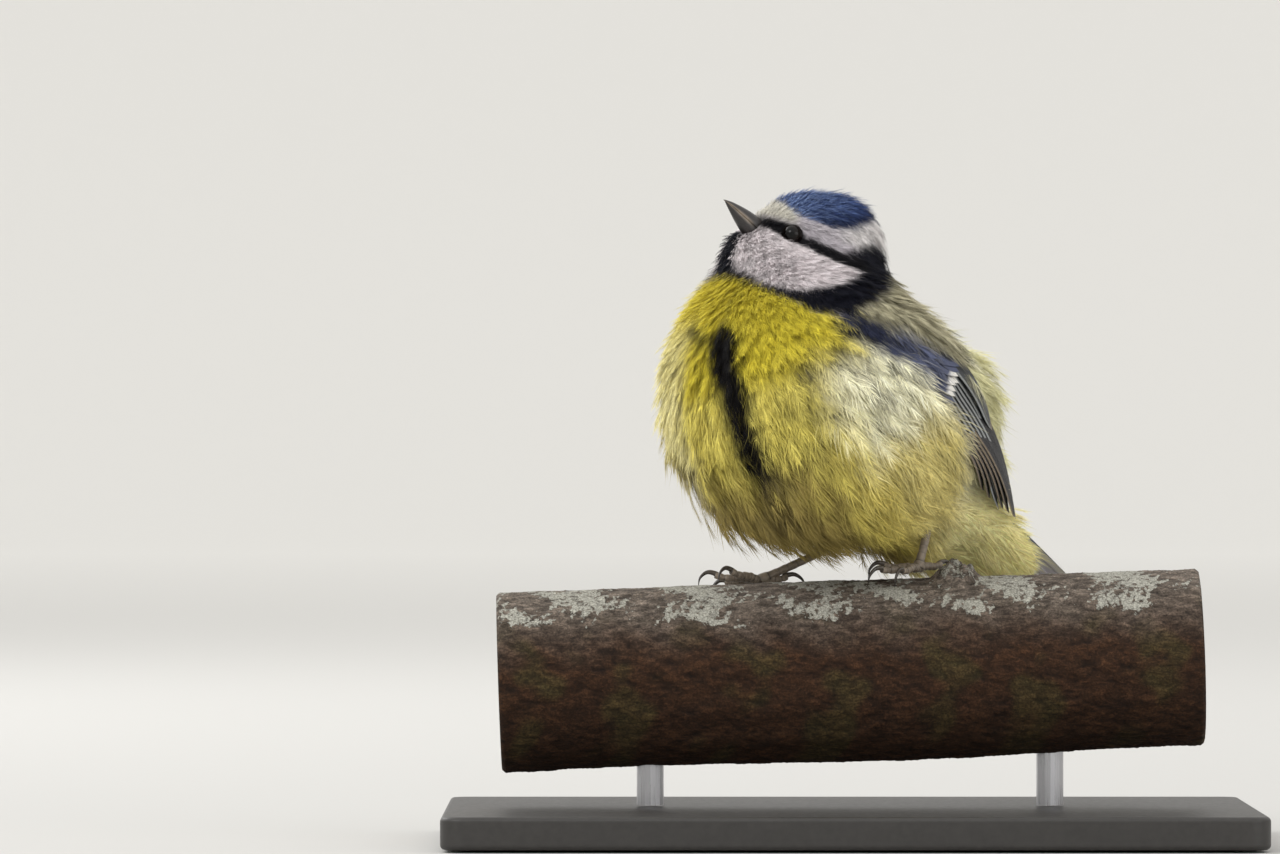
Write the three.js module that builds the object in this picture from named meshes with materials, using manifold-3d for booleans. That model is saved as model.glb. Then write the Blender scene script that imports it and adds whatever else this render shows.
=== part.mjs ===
// A life-size blue tit with fluffed plumage, looking up from a cut length of branch on a display stand.
// Millimetres, +Z up. The origin is the middle of the stand's underside. The bird faces -X and -Y.
import * as THREE from "three";
import { mergeVertices } from "three/addons/utils/BufferGeometryUtils.js";
import Module from "manifold-3d";

const wasm = await Module();
wasm.setup();

// Driving dimensions of the stand and the perch.
const BASE_LENGTH = 150;
const BASE_DEPTH = 110;
const BASE_THICK = 6;
const ROD_RADIUS = 2.5;
const ROD_SPREAD = 74;
const PERCH_LENGTH = 130;
const PERCH_RADIUS = 16.8;
const PERCH_TOP = 48;
const PERCH_TILT = THREE.MathUtils.degToRad(1.9);
const GAP = 0.3;
const MERGE = 2e-3;

// Where the bird stands, and how far it is turned from the front of the stand.
const BIRD_X = -1.2;
const BIRD_Y = 2.5;
const BIRD_TURN = THREE.MathUtils.degToRad(50);

// Driving dimensions of the bird.
const TAIL_LENGTH = 50;
const WING_THICK = 2.6;
const WING_WIDTH = 6.6;
const BILL_LENGTH = 6.5;
const BILL_DEPTH = 6.4;
const BILL_WIDTH = 5.2;
const BILL_ROOT = 2.5;
const EYE_RADIUS = 1.9;
const TARSUS_RADIUS = 0.75;
const TOE_RADIUS = 0.8;
const CLAW_RADIUS = 0.55;

const degrees = THREE.MathUtils.degToRad;
const vector = (x, y, z) => new THREE.Vector3(x, y, z);

// The lobes of plumage that blend into one body. In the bird's own frame p is forward, q is to its left and r is up
// from the top of the perch. fore and aft are along the lobe, side is across it, under and over are its depths.
const LOBES = {
  trunk: { at: [5.6, 0, 34], fore: 29.5, aft: 29, side: 29, under: 29, over: 22.5, pitch: 50, yaw: 0 },
  rump: { at: [-17, 0, 22], fore: 16, aft: 16, side: 15.5, under: 14, over: 13, pitch: 42, yaw: 0 },
  backFluff: { at: [-20.5, 0, 32.5], fore: 13, aft: 13.5, side: 12, under: 12, over: 11, pitch: 45, yaw: 0 },
  mantle: { at: [-8, 0, 38], fore: 13, aft: 14, side: 14.5, under: 12, over: 12, pitch: 45, yaw: 0 },
  vent: { at: [-13, 0, 11.5], fore: 12, aft: 15, side: 8.5, under: 8, over: 8, pitch: 22, yaw: 0 },
  tailCoverts: { at: [-31.5, 0, 12.5], fore: 14, aft: 13.5, side: 8.5, under: 8, over: 6, pitch: 36, yaw: 0 },
  nape: { at: [4, 0, 52], fore: 15, aft: 12, side: 13, under: 13, over: 10.5, pitch: 40, yaw: -6 },
  skull: { at: [6.3, -0.5, 61.2], fore: 12.3, aft: 13, side: 10.4, under: 10.2, over: 9.8, pitch: 24, yaw: -10 },
  crown: { at: [1.4, 0, 63.8], fore: 10, aft: 8, side: 8.6, under: 8.4, over: 6.8, pitch: 4, yaw: -10 },
  face: { at: [14.0, -1.8, 59.6], fore: 6, aft: 8, side: 7.2, under: 8, over: 6, pitch: 36, yaw: -10 },
};
const LOBE_BLEND = 1.5;

// The line that the body's rings are strung on, from the face to the root of the tail, in the bird's frame.
const SPINE = [
  [13.5, -1.4, 61.5],
  [7, -0.5, 60],
  [5, 0, 50],
  [0, 0, 36],
  [-14, 0, 22],
  [-36, 0, 11.5],
];
const RING_SIDES = 28;
const RINGS_ON_FACE = 5;
const RINGS_ON_SPINE = 24;
const RINGS_ON_TAIL = 4;

// Turns a lobe's named sizes into its centre and three unit axes.
function lobeFrame({ at, pitch, yaw, ...sizes }) {
  const [c, s] = [Math.cos(degrees(pitch)), Math.sin(degrees(pitch))];
  const [cy, sy] = [Math.cos(degrees(yaw)), Math.sin(degrees(yaw))];
  return {
    ...sizes,
    centre: vector(...at),
    along: vector(c * cy, c * sy, s),
    across: vector(-sy, cy, 0),
    down: vector(s * cy, s * sy, -c),
  };
}
const FRAMES = Object.values(LOBES).map(lobeFrame);

// A rough distance from a lobe: how many of its own radii a point lies out, less one, times its mean radius.
function lobeDistance(lobe, point) {
  const d = point.clone().sub(lobe.centre);
  const [x, y, z] = [d.dot(lobe.along), d.dot(lobe.across), d.dot(lobe.down)];
  const [fore, deep] = [x > 0 ? lobe.fore : lobe.aft, z > 0 ? lobe.under : lobe.over];
  return (Math.hypot(x / fore, y / lobe.side, z / deep) - 1) * Math.cbrt(fore * lobe.side * deep);
}

// The lobes blended: below zero inside the plumage.
function bodyDistance(point) {
  const sum = FRAMES.reduce((total, lobe) => total + Math.exp(-lobeDistance(lobe, point) / LOBE_BLEND), 0);
  return -LOBE_BLEND * Math.log(sum);
}

// Walks out along a ray from inside the body to where the plumage ends.
function plumagePoint(origin, direction) {
  const point = origin.clone();
  for (let step = 0; step < 60; step++) point.addScaledVector(direction, -bodyDistance(point) * 0.8);
  return point;
}

// A closed geometry from rings of equal numbers of points, with a point at each end.
function skinRings(start, rings, end) {
  const sides = rings[0].length;
  const points = [start, ...rings.flat(), end];
  const faces = [];
  const at = (ring, side) => 1 + ring * sides + (side % sides);
  for (let side = 0; side < sides; side++) {
    faces.push(0, at(0, side + 1), at(0, side));
    faces.push(points.length - 1, at(rings.length - 1, side), at(rings.length - 1, side + 1));
    for (let ring = 0; ring + 1 < rings.length; ring++) {
      const [a, b, c, d] = [at(ring, side), at(ring, side + 1), at(ring + 1, side + 1), at(ring + 1, side)];
      faces.push(a, b, c, a, c, d);
    }
  }
  return new THREE.BufferGeometry().setFromPoints(points).setIndex(faces);
}

// A geometry as a solid, turned the right way out.
function solid(geometry) {
  const bare = geometry.clone();
  bare.deleteAttribute("normal");
  bare.deleteAttribute("uv");
  const merged = mergeVertices(bare, MERGE);
  const numbers = (flip) => {
    const triVerts = new Uint32Array(merged.index.array);
    if (flip) for (let i = 0; i < triVerts.length; i += 3) triVerts.subarray(i, i + 3).reverse();
    return new wasm.Mesh({ numProp: 3, vertProperties: merged.attributes.position.array, triVerts });
  };
  const made = new wasm.Manifold(numbers(false));
  return made.volume() < 0 ? new wasm.Manifold(numbers(true)) : made;
}

// A solid's mesh as a geometry with nothing but positions.
function meshOf(body) {
  const { numProp, vertProperties, triVerts } = body.getMesh();
  const positions = new Float32Array((vertProperties.length / numProp) * 3);
  for (let i = 0; i < positions.length / 3; i++) {
    positions.set(vertProperties.subarray(i * numProp, i * numProp + 3), i * 3);
  }
  const geometry = new THREE.BufferGeometry();
  geometry.setAttribute("position", new THREE.BufferAttribute(positions, 3));
  return geometry.setIndex(new THREE.BufferAttribute(triVerts, 1));
}

// The largest piece of a solid as a geometry. Its points are merged first, so that a cut leaves no crumbs or pinches.
const largest = (body) => body.decompose().sort((a, b) => b.volume() - a.volume())[0];
const geometryOf = (body) => meshOf(largest(solid(meshOf(largest(body)))));

// The whole body of plumage: rings fan over the face, run down the spine and close over the root of the tail.
function plumageBody() {
  const spine = new THREE.CatmullRomCurve3(SPINE.map((point) => vector(...point)));
  const ring = (along, tilt) => {
    const axis = spine.getTangentAt(along);
    const across = vector(0, 1, 0).addScaledVector(axis, -axis.y).normalize();
    const down = axis.clone().cross(across);
    return Array.from({ length: RING_SIDES }, (_, side) => {
      const turn = (side / RING_SIDES) * 2 * Math.PI;
      const out = across.clone().multiplyScalar(Math.sin(turn)).addScaledVector(down, Math.cos(turn));
      const ray = out.multiplyScalar(Math.sin(tilt)).addScaledVector(axis, -Math.cos(tilt));
      return plumagePoint(spine.getPointAt(along), ray);
    });
  };
  const rings = [];
  for (let i = 1; i <= RINGS_ON_FACE; i++) rings.push(ring(0, (i / (RINGS_ON_FACE + 1)) * (Math.PI / 2)));
  for (let i = 0; i < RINGS_ON_SPINE; i++) rings.push(ring(i / (RINGS_ON_SPINE - 1), Math.PI / 2));
  for (let i = 1; i <= RINGS_ON_TAIL; i++) rings.push(ring(1, (1 + i / (RINGS_ON_TAIL + 1)) * (Math.PI / 2)));
  const start = plumagePoint(spine.getPointAt(0), spine.getTangentAt(0).negate());
  const end = plumagePoint(spine.getPointAt(1), spine.getTangentAt(1));
  return solid(skinRings(start, rings, end));
}

// A closed tube along points, round or flattened: radius gives its half width and half depth at each share of the way.
function tube(points, radius, sides = 8, steps = 12, up = vector(0, 0, 1)) {
  const curve = new THREE.CatmullRomCurve3(points);
  const rings = Array.from({ length: steps + 1 }, (_, step) => {
    const share = step / steps;
    const centre = curve.getPointAt(share);
    const along = curve.getTangentAt(share);
    const across = along.clone().cross(up).normalize();
    const deep = across.clone().cross(along);
    const [halfWidth, halfDepth] = radius(share);
    return Array.from({ length: sides }, (_, side) => {
      const turn = (side / sides) * 2 * Math.PI;
      return centre
        .clone()
        .addScaledVector(across, Math.cos(turn) * halfWidth)
        .addScaledVector(deep, Math.sin(turn) * halfDepth);
    });
  });
  return skinRings(curve.getPointAt(0), rings, curve.getPointAt(1));
}

// A thin slab across the body, used to part it at the neck.
function slab(at, pitch, yaw) {
  const geometry = new THREE.BoxGeometry(GAP, 90, 90);
  geometry.rotateY(degrees(-pitch));
  geometry.rotateZ(degrees(yaw));
  geometry.translate(...at);
  return solid(geometry);
}

// The folded wing: a curved plate from the shoulder to the wing tip, lying on the bird's side. side is 1 for the left.
function wing(side, grow = 0) {
  const shoulder = vector(14, 21 * side, 45.5);
  const wrist = vector(4.5, 27.5 * side, 41.5);
  const middle = vector(-10.5, 24 * side, 30.5);
  const rear = vector(-24.5, 14.5 * side, 19);
  const tip = vector(-35.5, 8 * side, 11);
  const outward = vector(0.1, side, 0.42).normalize();
  const radius = (share) => {
    const width = WING_WIDTH * Math.pow(Math.sin(Math.PI * Math.min(1, share * 0.82 + 0.14)), 0.75);
    return [width + grow, (WING_THICK / 2) * (1 - 0.62 * share) + grow];
  };
  return tube([shoulder, wrist, middle, rear, tip], radius, 8, 12, outward);
}

// The tail: a long plate of stacked feathers from under the rump, a little wider at its square tip.
function tail(grow = 0) {
  const root = vector(-31, 0, 16.5);
  const slope = degrees(-37.5);
  const along = (distance) => root.clone().add(vector(-Math.cos(slope), 0, Math.sin(slope)).multiplyScalar(distance));
  const radius = (share) => [4.6 + 2.6 * share + grow, 1.3 - 0.55 * share + grow];
  return tube([along(0), along(TAIL_LENGTH / 2), along(TAIL_LENGTH)], radius, 10, 8);
}

// One half of the bill, from the face to the tip. sign is 1 for the upper half and -1 for the lower.
const BILL_BASE = vector(20.9, -2.7, 65);
const BILL_PITCH = 41;
const BILL_YAW = -10;
function billHalf(sign, grow = 0) {
  const length = sign > 0 ? BILL_LENGTH : BILL_LENGTH - 0.4;
  const rings = [];
  const steps = 7;
  const sides = 7;
  for (let step = 0; step <= steps; step++) {
    const share = step / steps;
    const taper = Math.pow(1 - share, 0.85) + 0.05;
    const deep = (BILL_DEPTH / 2) * (sign > 0 ? 1.05 : 0.95) * taper;
    const half = (BILL_WIDTH / 2) * taper;
    rings.push(
      Array.from({ length: sides }, (_, side) => {
        const turn = (side / (sides - 1)) * Math.PI;
        const height = sign * (GAP / 2 - grow + Math.sin(turn) * (deep + 2 * grow));
        const along = -BILL_ROOT - grow + (length + BILL_ROOT + 2 * grow) * share;
        return vector(along, Math.cos(turn) * (half + grow), height);
      }),
    );
  }
  const mean = (ring) => ring.reduce((sum, point) => sum.add(point), vector(0, 0, 0)).divideScalar(ring.length);
  const geometry = skinRings(mean(rings[0]), rings, mean(rings[steps]));
  geometry.rotateY(degrees(-BILL_PITCH));
  geometry.rotateZ(degrees(BILL_YAW));
  geometry.translate(...BILL_BASE);
  return geometry;
}

// An eye as a ball set into the side of the head, forward of the middle of the skull and sunk into its plumage.
const EYE_FORWARD = 1.2;
const EYE_DOWN = 0.26;
const EYE_SUNK = 1.2;
function eye(side, grow = 0) {
  const skull = lobeFrame(LOBES.skull);
  const out = skull.across.clone().multiplyScalar(side);
  out.addScaledVector(skull.along, EYE_FORWARD).addScaledVector(skull.down, EYE_DOWN).normalize();
  const centre = plumagePoint(skull.centre, out).addScaledVector(out, -EYE_SUNK);
  const geometry = new THREE.SphereGeometry(EYE_RADIUS + grow, 12, 8);
  geometry.translate(...centre);
  return geometry;
}

// A point on the perch, or height above it. x is along the perch and round is the angle from its top to the front.
function onPerch(x, round, height = 0) {
  const reach = PERCH_RADIUS + height;
  const local = vector(x, -reach * Math.sin(round), reach * Math.cos(round));
  return local.applyAxisAngle(vector(0, 1, 0), -PERCH_TILT).add(vector(0, 0, PERCH_TOP - PERCH_RADIUS));
}

// A toe and its claw: it leaves the foot, arches over the bark and ends in a claw that meets the bark.
const TOES = [
  { name: "inner", turn: 26, length: 5.8, claw: 4.6 },
  { name: "middle", turn: 0, length: 7.8, claw: 5 },
  { name: "outer", turn: -25, length: 6, claw: 4.6 },
  { name: "hind", turn: 180, length: 4.8, claw: 5.2 },
];

// Each foot: where it stands on the perch, which way its toes point and where its ankle is, in the frame of the stand.
const FEET = {
  left: { x: 13.2, round: degrees(1), heading: 34, ankle: vector(15.2, 3.4, PERCH_TOP + 14.2) },
  right: { x: -16.2, round: degrees(-22), heading: 8, ankle: vector(-1.6, 11, PERCH_TOP + 6.8) },
};

// The tarsus with its four toes as one solid, and the claws as solids of their own.
function foot(stance) {
  const pad = onPerch(stance.x, stance.round, TOE_RADIUS + 0.9);
  const middle = pad.clone().lerp(stance.ankle, 0.5).add(vector(0.25, -0.25, 0));
  const shin = (grow) => {
    const radius = (share) => {
      const knuckles = 0.35 * Math.exp(-Math.pow(share / 0.1, 2)) + 0.35 * Math.exp(-Math.pow((1 - share) / 0.12, 2));
      return [TARSUS_RADIUS + knuckles + grow, TARSUS_RADIUS + knuckles + grow];
    };
    const above = stance.ankle.clone().lerp(pad, -grow / 16);
    return solid(tube([pad, middle, above], radius, 8, 7, vector(0, 1, 0.01)));
  };
  let whole = shin(0);
  const claws = {};
  for (const toe of TOES) {
    const heading = degrees(stance.heading + toe.turn);
    const walk = (distance, height) =>
      onPerch(
        stance.x - Math.cos(heading) * distance,
        stance.round + (Math.sin(heading) * distance) / PERCH_RADIUS,
        height,
      );
    const rest = TOE_RADIUS + GAP;
    const path = [pad, walk(toe.length * 0.4, rest + 1), walk(toe.length * 0.75, rest + 0.9), walk(toe.length, rest + 1.5)];
    const pads = (share) => {
      const size = TOE_RADIUS * (1.08 - 0.2 * share);
      return [size, size];
    };
    whole = whole.add(solid(tube(path, pads, 6, 6)));
    const reach = toe.length + TOE_RADIUS * 0.88 + GAP;
    const arch = [
      walk(reach, rest + 1.75),
      walk(reach + toe.claw * 0.28, rest + 2),
      walk(reach + toe.claw * 0.58, rest + 1),
      walk(reach + toe.claw * 0.66, 0.35),
    ];
    const hook = (share) => {
      const size = Math.max(0.16, CLAW_RADIUS * (1 - share * 0.8));
      return [size * 0.9, size];
    };
    claws[toe.name] = solid(tube(arch, hook, 5, 5));
  }
  for (const claw of Object.values(claws)) whole = whole.subtract(claw);
  return { whole, claws, room: shin(GAP) };
}

// A feathered thigh that hangs from the belly to the ankle, in the bird's frame.
const THIGHS = {
  left: { from: vector(-7, 12, 19), to: vector(-12.6, 9.6, 11.6), size: 5.2 },
  right: { from: vector(0, -9, 15), to: vector(-3.6, -6.6, 4.2), size: 5 },
};

// The bird's own frame stood on the perch, and the turn that takes its points into the frame of the stand.
const birdTurn = new THREE.Matrix4()
  .makeTranslation(BIRD_X, BIRD_Y, PERCH_TOP)
  .multiply(new THREE.Matrix4().makeRotationZ(-Math.PI / 2 - BIRD_TURN));
const stood = (geometry) => geometry.clone().applyMatrix4(birdTurn);

// The cut branch: rings of bark with slow swellings, and a knob on its top behind the near foot.
function perch() {
  const steps = 22;
  const sides = 22;
  const knob = { x: 20.5, round: degrees(8), width: 3.4, height: 2.2 };
  const rings = Array.from({ length: steps + 1 }, (_, step) => {
    const x = (step / steps - 0.5) * PERCH_LENGTH;
    return Array.from({ length: sides }, (_, side) => {
      const round = (side / sides) * 2 * Math.PI;
      const under = 0.5 - 0.5 * Math.cos(round);
      const swell = under * (0.35 * Math.sin(x * 0.06 + 1) + 0.25 * Math.sin(3 * round + x * 0.03));
      const away = Math.hypot(x - knob.x, PERCH_RADIUS * Math.sin(round - knob.round)) / knob.width;
      const bump = Math.cos(round) > 0 ? knob.height * Math.exp(-away * away) : 0;
      return onPerch(x, round, swell + bump);
    });
  });
  const mean = (ring) => ring.reduce((sum, point) => sum.add(point), vector(0, 0, 0)).divideScalar(ring.length);
  return skinRings(mean(rings[0]), rings, mean(rings[steps]));
}

// The base of the stand, with a small bevel round its top edge.
function standBase() {
  const bevel = 1;
  const shape = new THREE.Shape();
  const [x, y, corner] = [BASE_LENGTH / 2 - bevel, BASE_DEPTH / 2 - bevel, 4];
  shape.moveTo(-x + corner, -y);
  shape.lineTo(x - corner, -y);
  shape.absarc(x - corner, -y + corner, corner, -Math.PI / 2, 0);
  shape.absarc(x - corner, y - corner, corner, 0, Math.PI / 2);
  shape.absarc(-x + corner, y - corner, corner, Math.PI / 2, Math.PI);
  shape.absarc(-x + corner, -y + corner, corner, Math.PI, 1.5 * Math.PI);
  const geometry = new THREE.ExtrudeGeometry(shape, {
    depth: BASE_THICK - 2 * bevel,
    bevelThickness: bevel,
    bevelSize: bevel,
    bevelSegments: 1,
    curveSegments: 3,
  });
  geometry.translate(0, 0, bevel);
  return geometry;
}

// A rod that stands on the base and ends in a socket bored up into the perch.
const SOCKET_DEPTH = 8;
function standRod(x, grow = 0) {
  const foot = BASE_THICK + GAP;
  const top = PERCH_TOP - 2 * PERCH_RADIUS + SOCKET_DEPTH + grow;
  const geometry = new THREE.CylinderGeometry(ROD_RADIUS + grow, ROD_RADIUS + grow, top - foot, 16);
  geometry.rotateX(Math.PI / 2);
  geometry.translate(x, 0, (top + foot) / 2);
  return geometry;
}

const FINISHES = {
  flesh: { color: 0xc9b84e, roughness: 0.9, metalness: 0 },
  headPlumage: { color: 0xb8b2ac, roughness: 0.9, metalness: 0 },
  collar: { color: 0x1e2436, roughness: 0.85, metalness: 0 },
  wing: { color: 0x5a6478, roughness: 0.7, metalness: 0 },
  tail: { color: 0x6a7288, roughness: 0.7, metalness: 0 },
  leg: { color: 0x4a4c55, roughness: 0.6, metalness: 0 },
  claw: { color: 0x241d1b, roughness: 0.4, metalness: 0 },
  bill: { color: 0x3c3733, roughness: 0.4, metalness: 0 },
  eye: { color: 0x0c0a0a, roughness: 0.08, metalness: 0 },
  bark: { color: 0x4b3828, roughness: 0.95, metalness: 0 },
  base: { color: 0x26231f, roughness: 0.5, metalness: 0 },
  rod: { color: 0x9a9a9c, roughness: 0.3, metalness: 1 },
};

const group = new THREE.Group();
function addNode(name, body, finish) {
  const mesh = new THREE.Mesh(geometryOf(body), new THREE.MeshStandardMaterial(FINISHES[finish]));
  mesh.name = name;
  group.add(mesh);
}

// The body is cut to hold the eyes, bill, wings, tail and legs, then parted into head, neck and trunk.
const RODS = [-ROD_SPREAD / 2, ROD_SPREAD / 2];
const bark = RODS.reduce((branch, x) => branch.subtract(solid(standRod(x, GAP))), solid(perch()));
const feet = { left: foot(FEET.left), right: foot(FEET.right) };
const thighs = Object.fromEntries(
  Object.entries(THIGHS).map(([side, { from, to, size }]) => {
    const radius = (grow) => (share) => {
      const width = size * (1 - 0.62 * share) + grow;
      return [width, width];
    };
    const make = (grow) => solid(stood(tube([from, from.clone().lerp(to, 0.5), to], radius(grow), 10, 5, vector(0, 1, 0))));
    return [side, { piece: make(0), room: make(GAP) }];
  }),
);
let body = solid(stood(geometryOf(plumageBody())));
for (const side of [1, -1]) {
  body = body.subtract(solid(stood(wing(side, GAP)))).subtract(solid(stood(eye(side, GAP))));
  body = body.subtract(solid(stood(billHalf(side, GAP))));
}
body = body.subtract(solid(stood(tail(GAP))));
for (const side of ["left", "right"]) {
  body = body.subtract(thighs[side].room).subtract(feet[side].room);
}
const headCut = { at: [6, 0, 55.2], pitch: 92, yaw: -6 };
const chestCut = { at: [4, 0, 50], pitch: 92, yaw: -6 };
const cutSlab = ({ at, pitch, yaw }) => solid(stood(geometryOf(slab(at, pitch, yaw))));
const pieces = body.subtract(cutSlab(headCut)).subtract(cutSlab(chestCut)).decompose();
const heightOf = (piece) => (piece.boundingBox().min[2] + piece.boundingBox().max[2]) / 2;
const [trunk, neck, head] = pieces
  .filter((piece) => piece.volume() > 200)
  .sort((a, b) => heightOf(a) - heightOf(b));

addNode("head", head, "headPlumage");
addNode("neck", neck, "collar");
addNode("trunk", trunk, "flesh");
addNode("tail", solid(stood(tail())), "tail");
addNode("bill_upper", solid(stood(billHalf(1))), "bill");
addNode("bill_lower", solid(stood(billHalf(-1))), "bill");
for (const [side, sign] of [["left", 1], ["right", -1]]) {
  addNode(`eye_${side}`, solid(stood(eye(sign))), "eye");
  addNode(`wing_${side}`, solid(stood(wing(sign))), "wing");
  addNode(`thigh_${side}`, thighs[side].piece.subtract(feet[side].room), "flesh");
  addNode(`foot_${side}`, feet[side].whole, "leg");
  for (const [toe, claw] of Object.entries(feet[side].claws)) addNode(`claw_${side}_${toe}`, claw, "claw");
}
addNode("perch", bark, "bark");
addNode("stand_base", solid(standBase()), "base");
for (const [index, x] of RODS.entries()) {
  addNode(`stand_rod_${index + 1}`, solid(standRod(x)), "rod");
}

export default group;
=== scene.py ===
"""The looks of a life-size blue tit on a cut branch: skin, coat, wings, tail, bare parts, bark and stand.

Shapes are worked out in the bird's own frame in millimetres: p is forward, q is to its left and r is up from
the top of the perch. to_stand() turns them into the frame of the stand, in metres.
"""

import bpy
import numpy as np
from bpy.props import FloatProperty, FloatVectorProperty, IntProperty, PointerProperty
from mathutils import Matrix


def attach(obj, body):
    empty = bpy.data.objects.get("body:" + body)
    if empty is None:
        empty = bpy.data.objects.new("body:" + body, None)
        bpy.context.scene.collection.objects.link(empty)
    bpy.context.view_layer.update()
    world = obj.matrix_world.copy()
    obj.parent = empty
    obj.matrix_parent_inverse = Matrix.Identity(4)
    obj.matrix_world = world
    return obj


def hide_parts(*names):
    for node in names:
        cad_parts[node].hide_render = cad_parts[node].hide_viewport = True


bl_info = {
    "name": "Blue Tit On A Perch",
    "version": (1, 0, 0),
    "blender": (4, 5, 0),
    "location": "View3D > Sidebar > Blue Tit",
    "description": "Makes the skin, feathers, bare parts, perch and stand of a life-size blue tit",
    "category": "Add Mesh",
}

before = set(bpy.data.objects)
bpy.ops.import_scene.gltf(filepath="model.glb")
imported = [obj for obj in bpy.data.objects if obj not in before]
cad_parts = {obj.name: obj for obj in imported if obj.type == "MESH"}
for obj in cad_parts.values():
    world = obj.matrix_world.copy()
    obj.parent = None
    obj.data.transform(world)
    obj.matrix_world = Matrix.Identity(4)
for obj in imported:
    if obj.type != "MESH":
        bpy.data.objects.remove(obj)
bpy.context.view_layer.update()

MM = 0.001
SEED = 7
BAKE_PATCH = 0.003
MOST_TRIANGLES = 190000
HANDS = (("left", 1), ("right", -1))

# The first two powers of one over the plastic number, which spread points evenly over a square.
SPREAD = (0.7548776662466927, 0.5698402909980532)

# The stand and the perch, in millimetres, as the solids have them.
BASE_LENGTH = 150.0
BASE_DEPTH = 110.0
BASE_THICK = 6.0
BASE_CORNER = 4.0
BASE_BEVEL = 0.9
PERCH_LENGTH = 130.0
PERCH_RADIUS = 16.8
PERCH_TOP = 48.0
PERCH_TILT = np.radians(1.9)
KNOB_X = 20.0
KNOB_ROUND = np.radians(10)
KNOB_WIDTH = 3.3
KNOB_HEIGHT = 2.9

# Where the bird stands and how far it is turned.
BIRD_X = -1.2
BIRD_Y = 2.5
BIRD_TURN = np.radians(50)

# The lobes of plumage that blend into one body: where each is, its reach fore, aft, to the side, under and
# over, and the pitch and yaw of its long axis in degrees.
LOBES = {
    "trunk": ((5.6, 0, 34), (29.5, 29, 29, 29, 22.5), 50, 0),
    "rump": ((-17, 0, 22), (16, 16, 15.5, 14, 13), 42, 0),
    "back_fluff": ((-20.5, 0, 32.5), (13, 13.5, 12, 12, 11), 45, 0),
    "mantle": ((-8, 0, 38), (13, 14, 14.5, 12, 12), 45, 0),
    "vent": ((-13, 0, 11.5), (12, 15, 8.5, 8, 8), 22, 0),
    "tail_coverts": ((-31.0, 0, 12.0), (14, 13.0, 8.5, 8, 4.8), 36, 0),
    "nape": ((4, 0, 52), (15, 12, 13, 13, 10.5), 40, -6),
    "skull": ((6.3, -0.5, 61.2), (12.3, 13, 10.4, 10.2, 9.8), 24, -10),
    "crown": ((1.4, 0, 63.8), (10, 8, 8.6, 8.4, 6.8), 4, -10),
    "face": ((14, -1.8, 59.6), (6, 8, 7.2, 8, 6), 36, -10),
    "chin": ((18.5, -3.0, 58.8), (6.3, 6.3, 6.3, 6.3, 6.3), 0, 0),
    "thigh_left": ((-10.6, 10.5, 14), (5, 5.5, 3.6, 3.6, 3.6), 50, 23),
    "thigh_right": ((-2.4, -7.4, 8), (5, 4.5, 3.4, 3.4, 3.4), 68, -34),
}
LOBE_BLEND = 1.5

# The line that the body's rings start from, and the pitch and yaw of each ring's axis.
RING_AT = ((9, -1, 57.5), (6, -0.3, 50), (0, 0, 36), (-14, 0, 22), (-36, 0, 11.5))
RING_PITCH = (32, 38, 50, 42, 36)
RING_YAW = (-10, -6, 0, 0, 0)
RINGS_ON_FACE = 60
RINGS_ON_BODY = 150
RINGS_ON_TAIL = 30
RING_SIDES = 160
# The belly is drawn up by BELLY_TUCK, and by LEG_TUCK more about each leg: where, and how far round it.
BELLY_TUCK = 1.6
LEG_TUCK = 2.2
LEG_GAPS = (((-13.0, 9.8, 7.5), 7.5), ((-5.0, -6.8, 5.5), 5.5))

# The head's own axes: a is forward, b to its left and c up, from the middle of the skull.
HEAD_AT = np.array([6.3, -0.5, 61.2])
HEAD_PITCH = 22
HEAD_YAW = -10
BILL_BASE = np.array([21.4, -2.6, 65.9])
BILL_PITCH = 42
BILL_YAW = -10
BILL_LENGTH = 6.5
BILL_DEPTH = 4.6
BILL_WIDTH = 4.0
BILL_ROOT = 2.5
EYE_RADIUS = 1.9
EYE_FORWARD = 1.36
EYE_DOWN = 0.2
EYE_SUNK = 1.2

LID_UP = 1.45
LID_BESIDE = 1.66
LID_STEPS = 64
LID_SIDES = 12

# The folded wing's middle line for the left side, its half width, length and outward side.
WING_LINE = ((14, 21, 45.5), (4.5, 27.5, 41.5), (-10.5, 24, 30.5), (-24.5, 14.5, 19), (-35.5, 8, 11))
WING_HALF = 6.6
WING_LENGTH = 66
WING_OUT = (0.1, 1, 0.42)

# How far each kind of long feather bows outwards and how blunt its tip is, and the same for all coverts.
FEATHER_BOW = {"primary": 2.2, "secondary": 1.9, "tertial": 1.5}
FEATHER_BLUNT = {"primary": 5, "secondary": 3.4, "tertial": 3.2}
COVERT_BOW = 0.5
COVERT_BLUNT = 2.6
SHAFT_SHADE = 0.55

TAIL_ROOT = (-31.0, 0.0, 16.5)
TAIL_SLOPE = np.radians(-37.5)
TAIL_WAY = np.array([-np.cos(TAIL_SLOPE), 0, np.sin(TAIL_SLOPE)])
TAIL_LENGTH = 50.0
TAIL_FEATHER_HALF = 2.7

# How far back the coverts reach over and under the tail, the points on each shaft and the steps of each barb.
COVERTS_OVER = -37.0
COVERTS_UNDER = -39.5
SHAFT_STEPS = 7
BARB_STEPS = 2
COAT_CLOSENESS = 1.15

# The part of the folded wing that the coat leaves open: its lower and upper edge at shares of its length.
WING_LOWER = ((0.1, -0.35), (0.16, -0.8), (0.25, -0.95), (0.36, -1.08), (0.5, -1.15), (0.75, -1.15), (1, -1))
WING_UPPER = ((0.07, -0.18), (0.15, 0.02), (0.25, 0.25), (0.34, 0.55), (0.45, 0.85), (0.6, 0.95), (1.0, 1.0))

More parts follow.
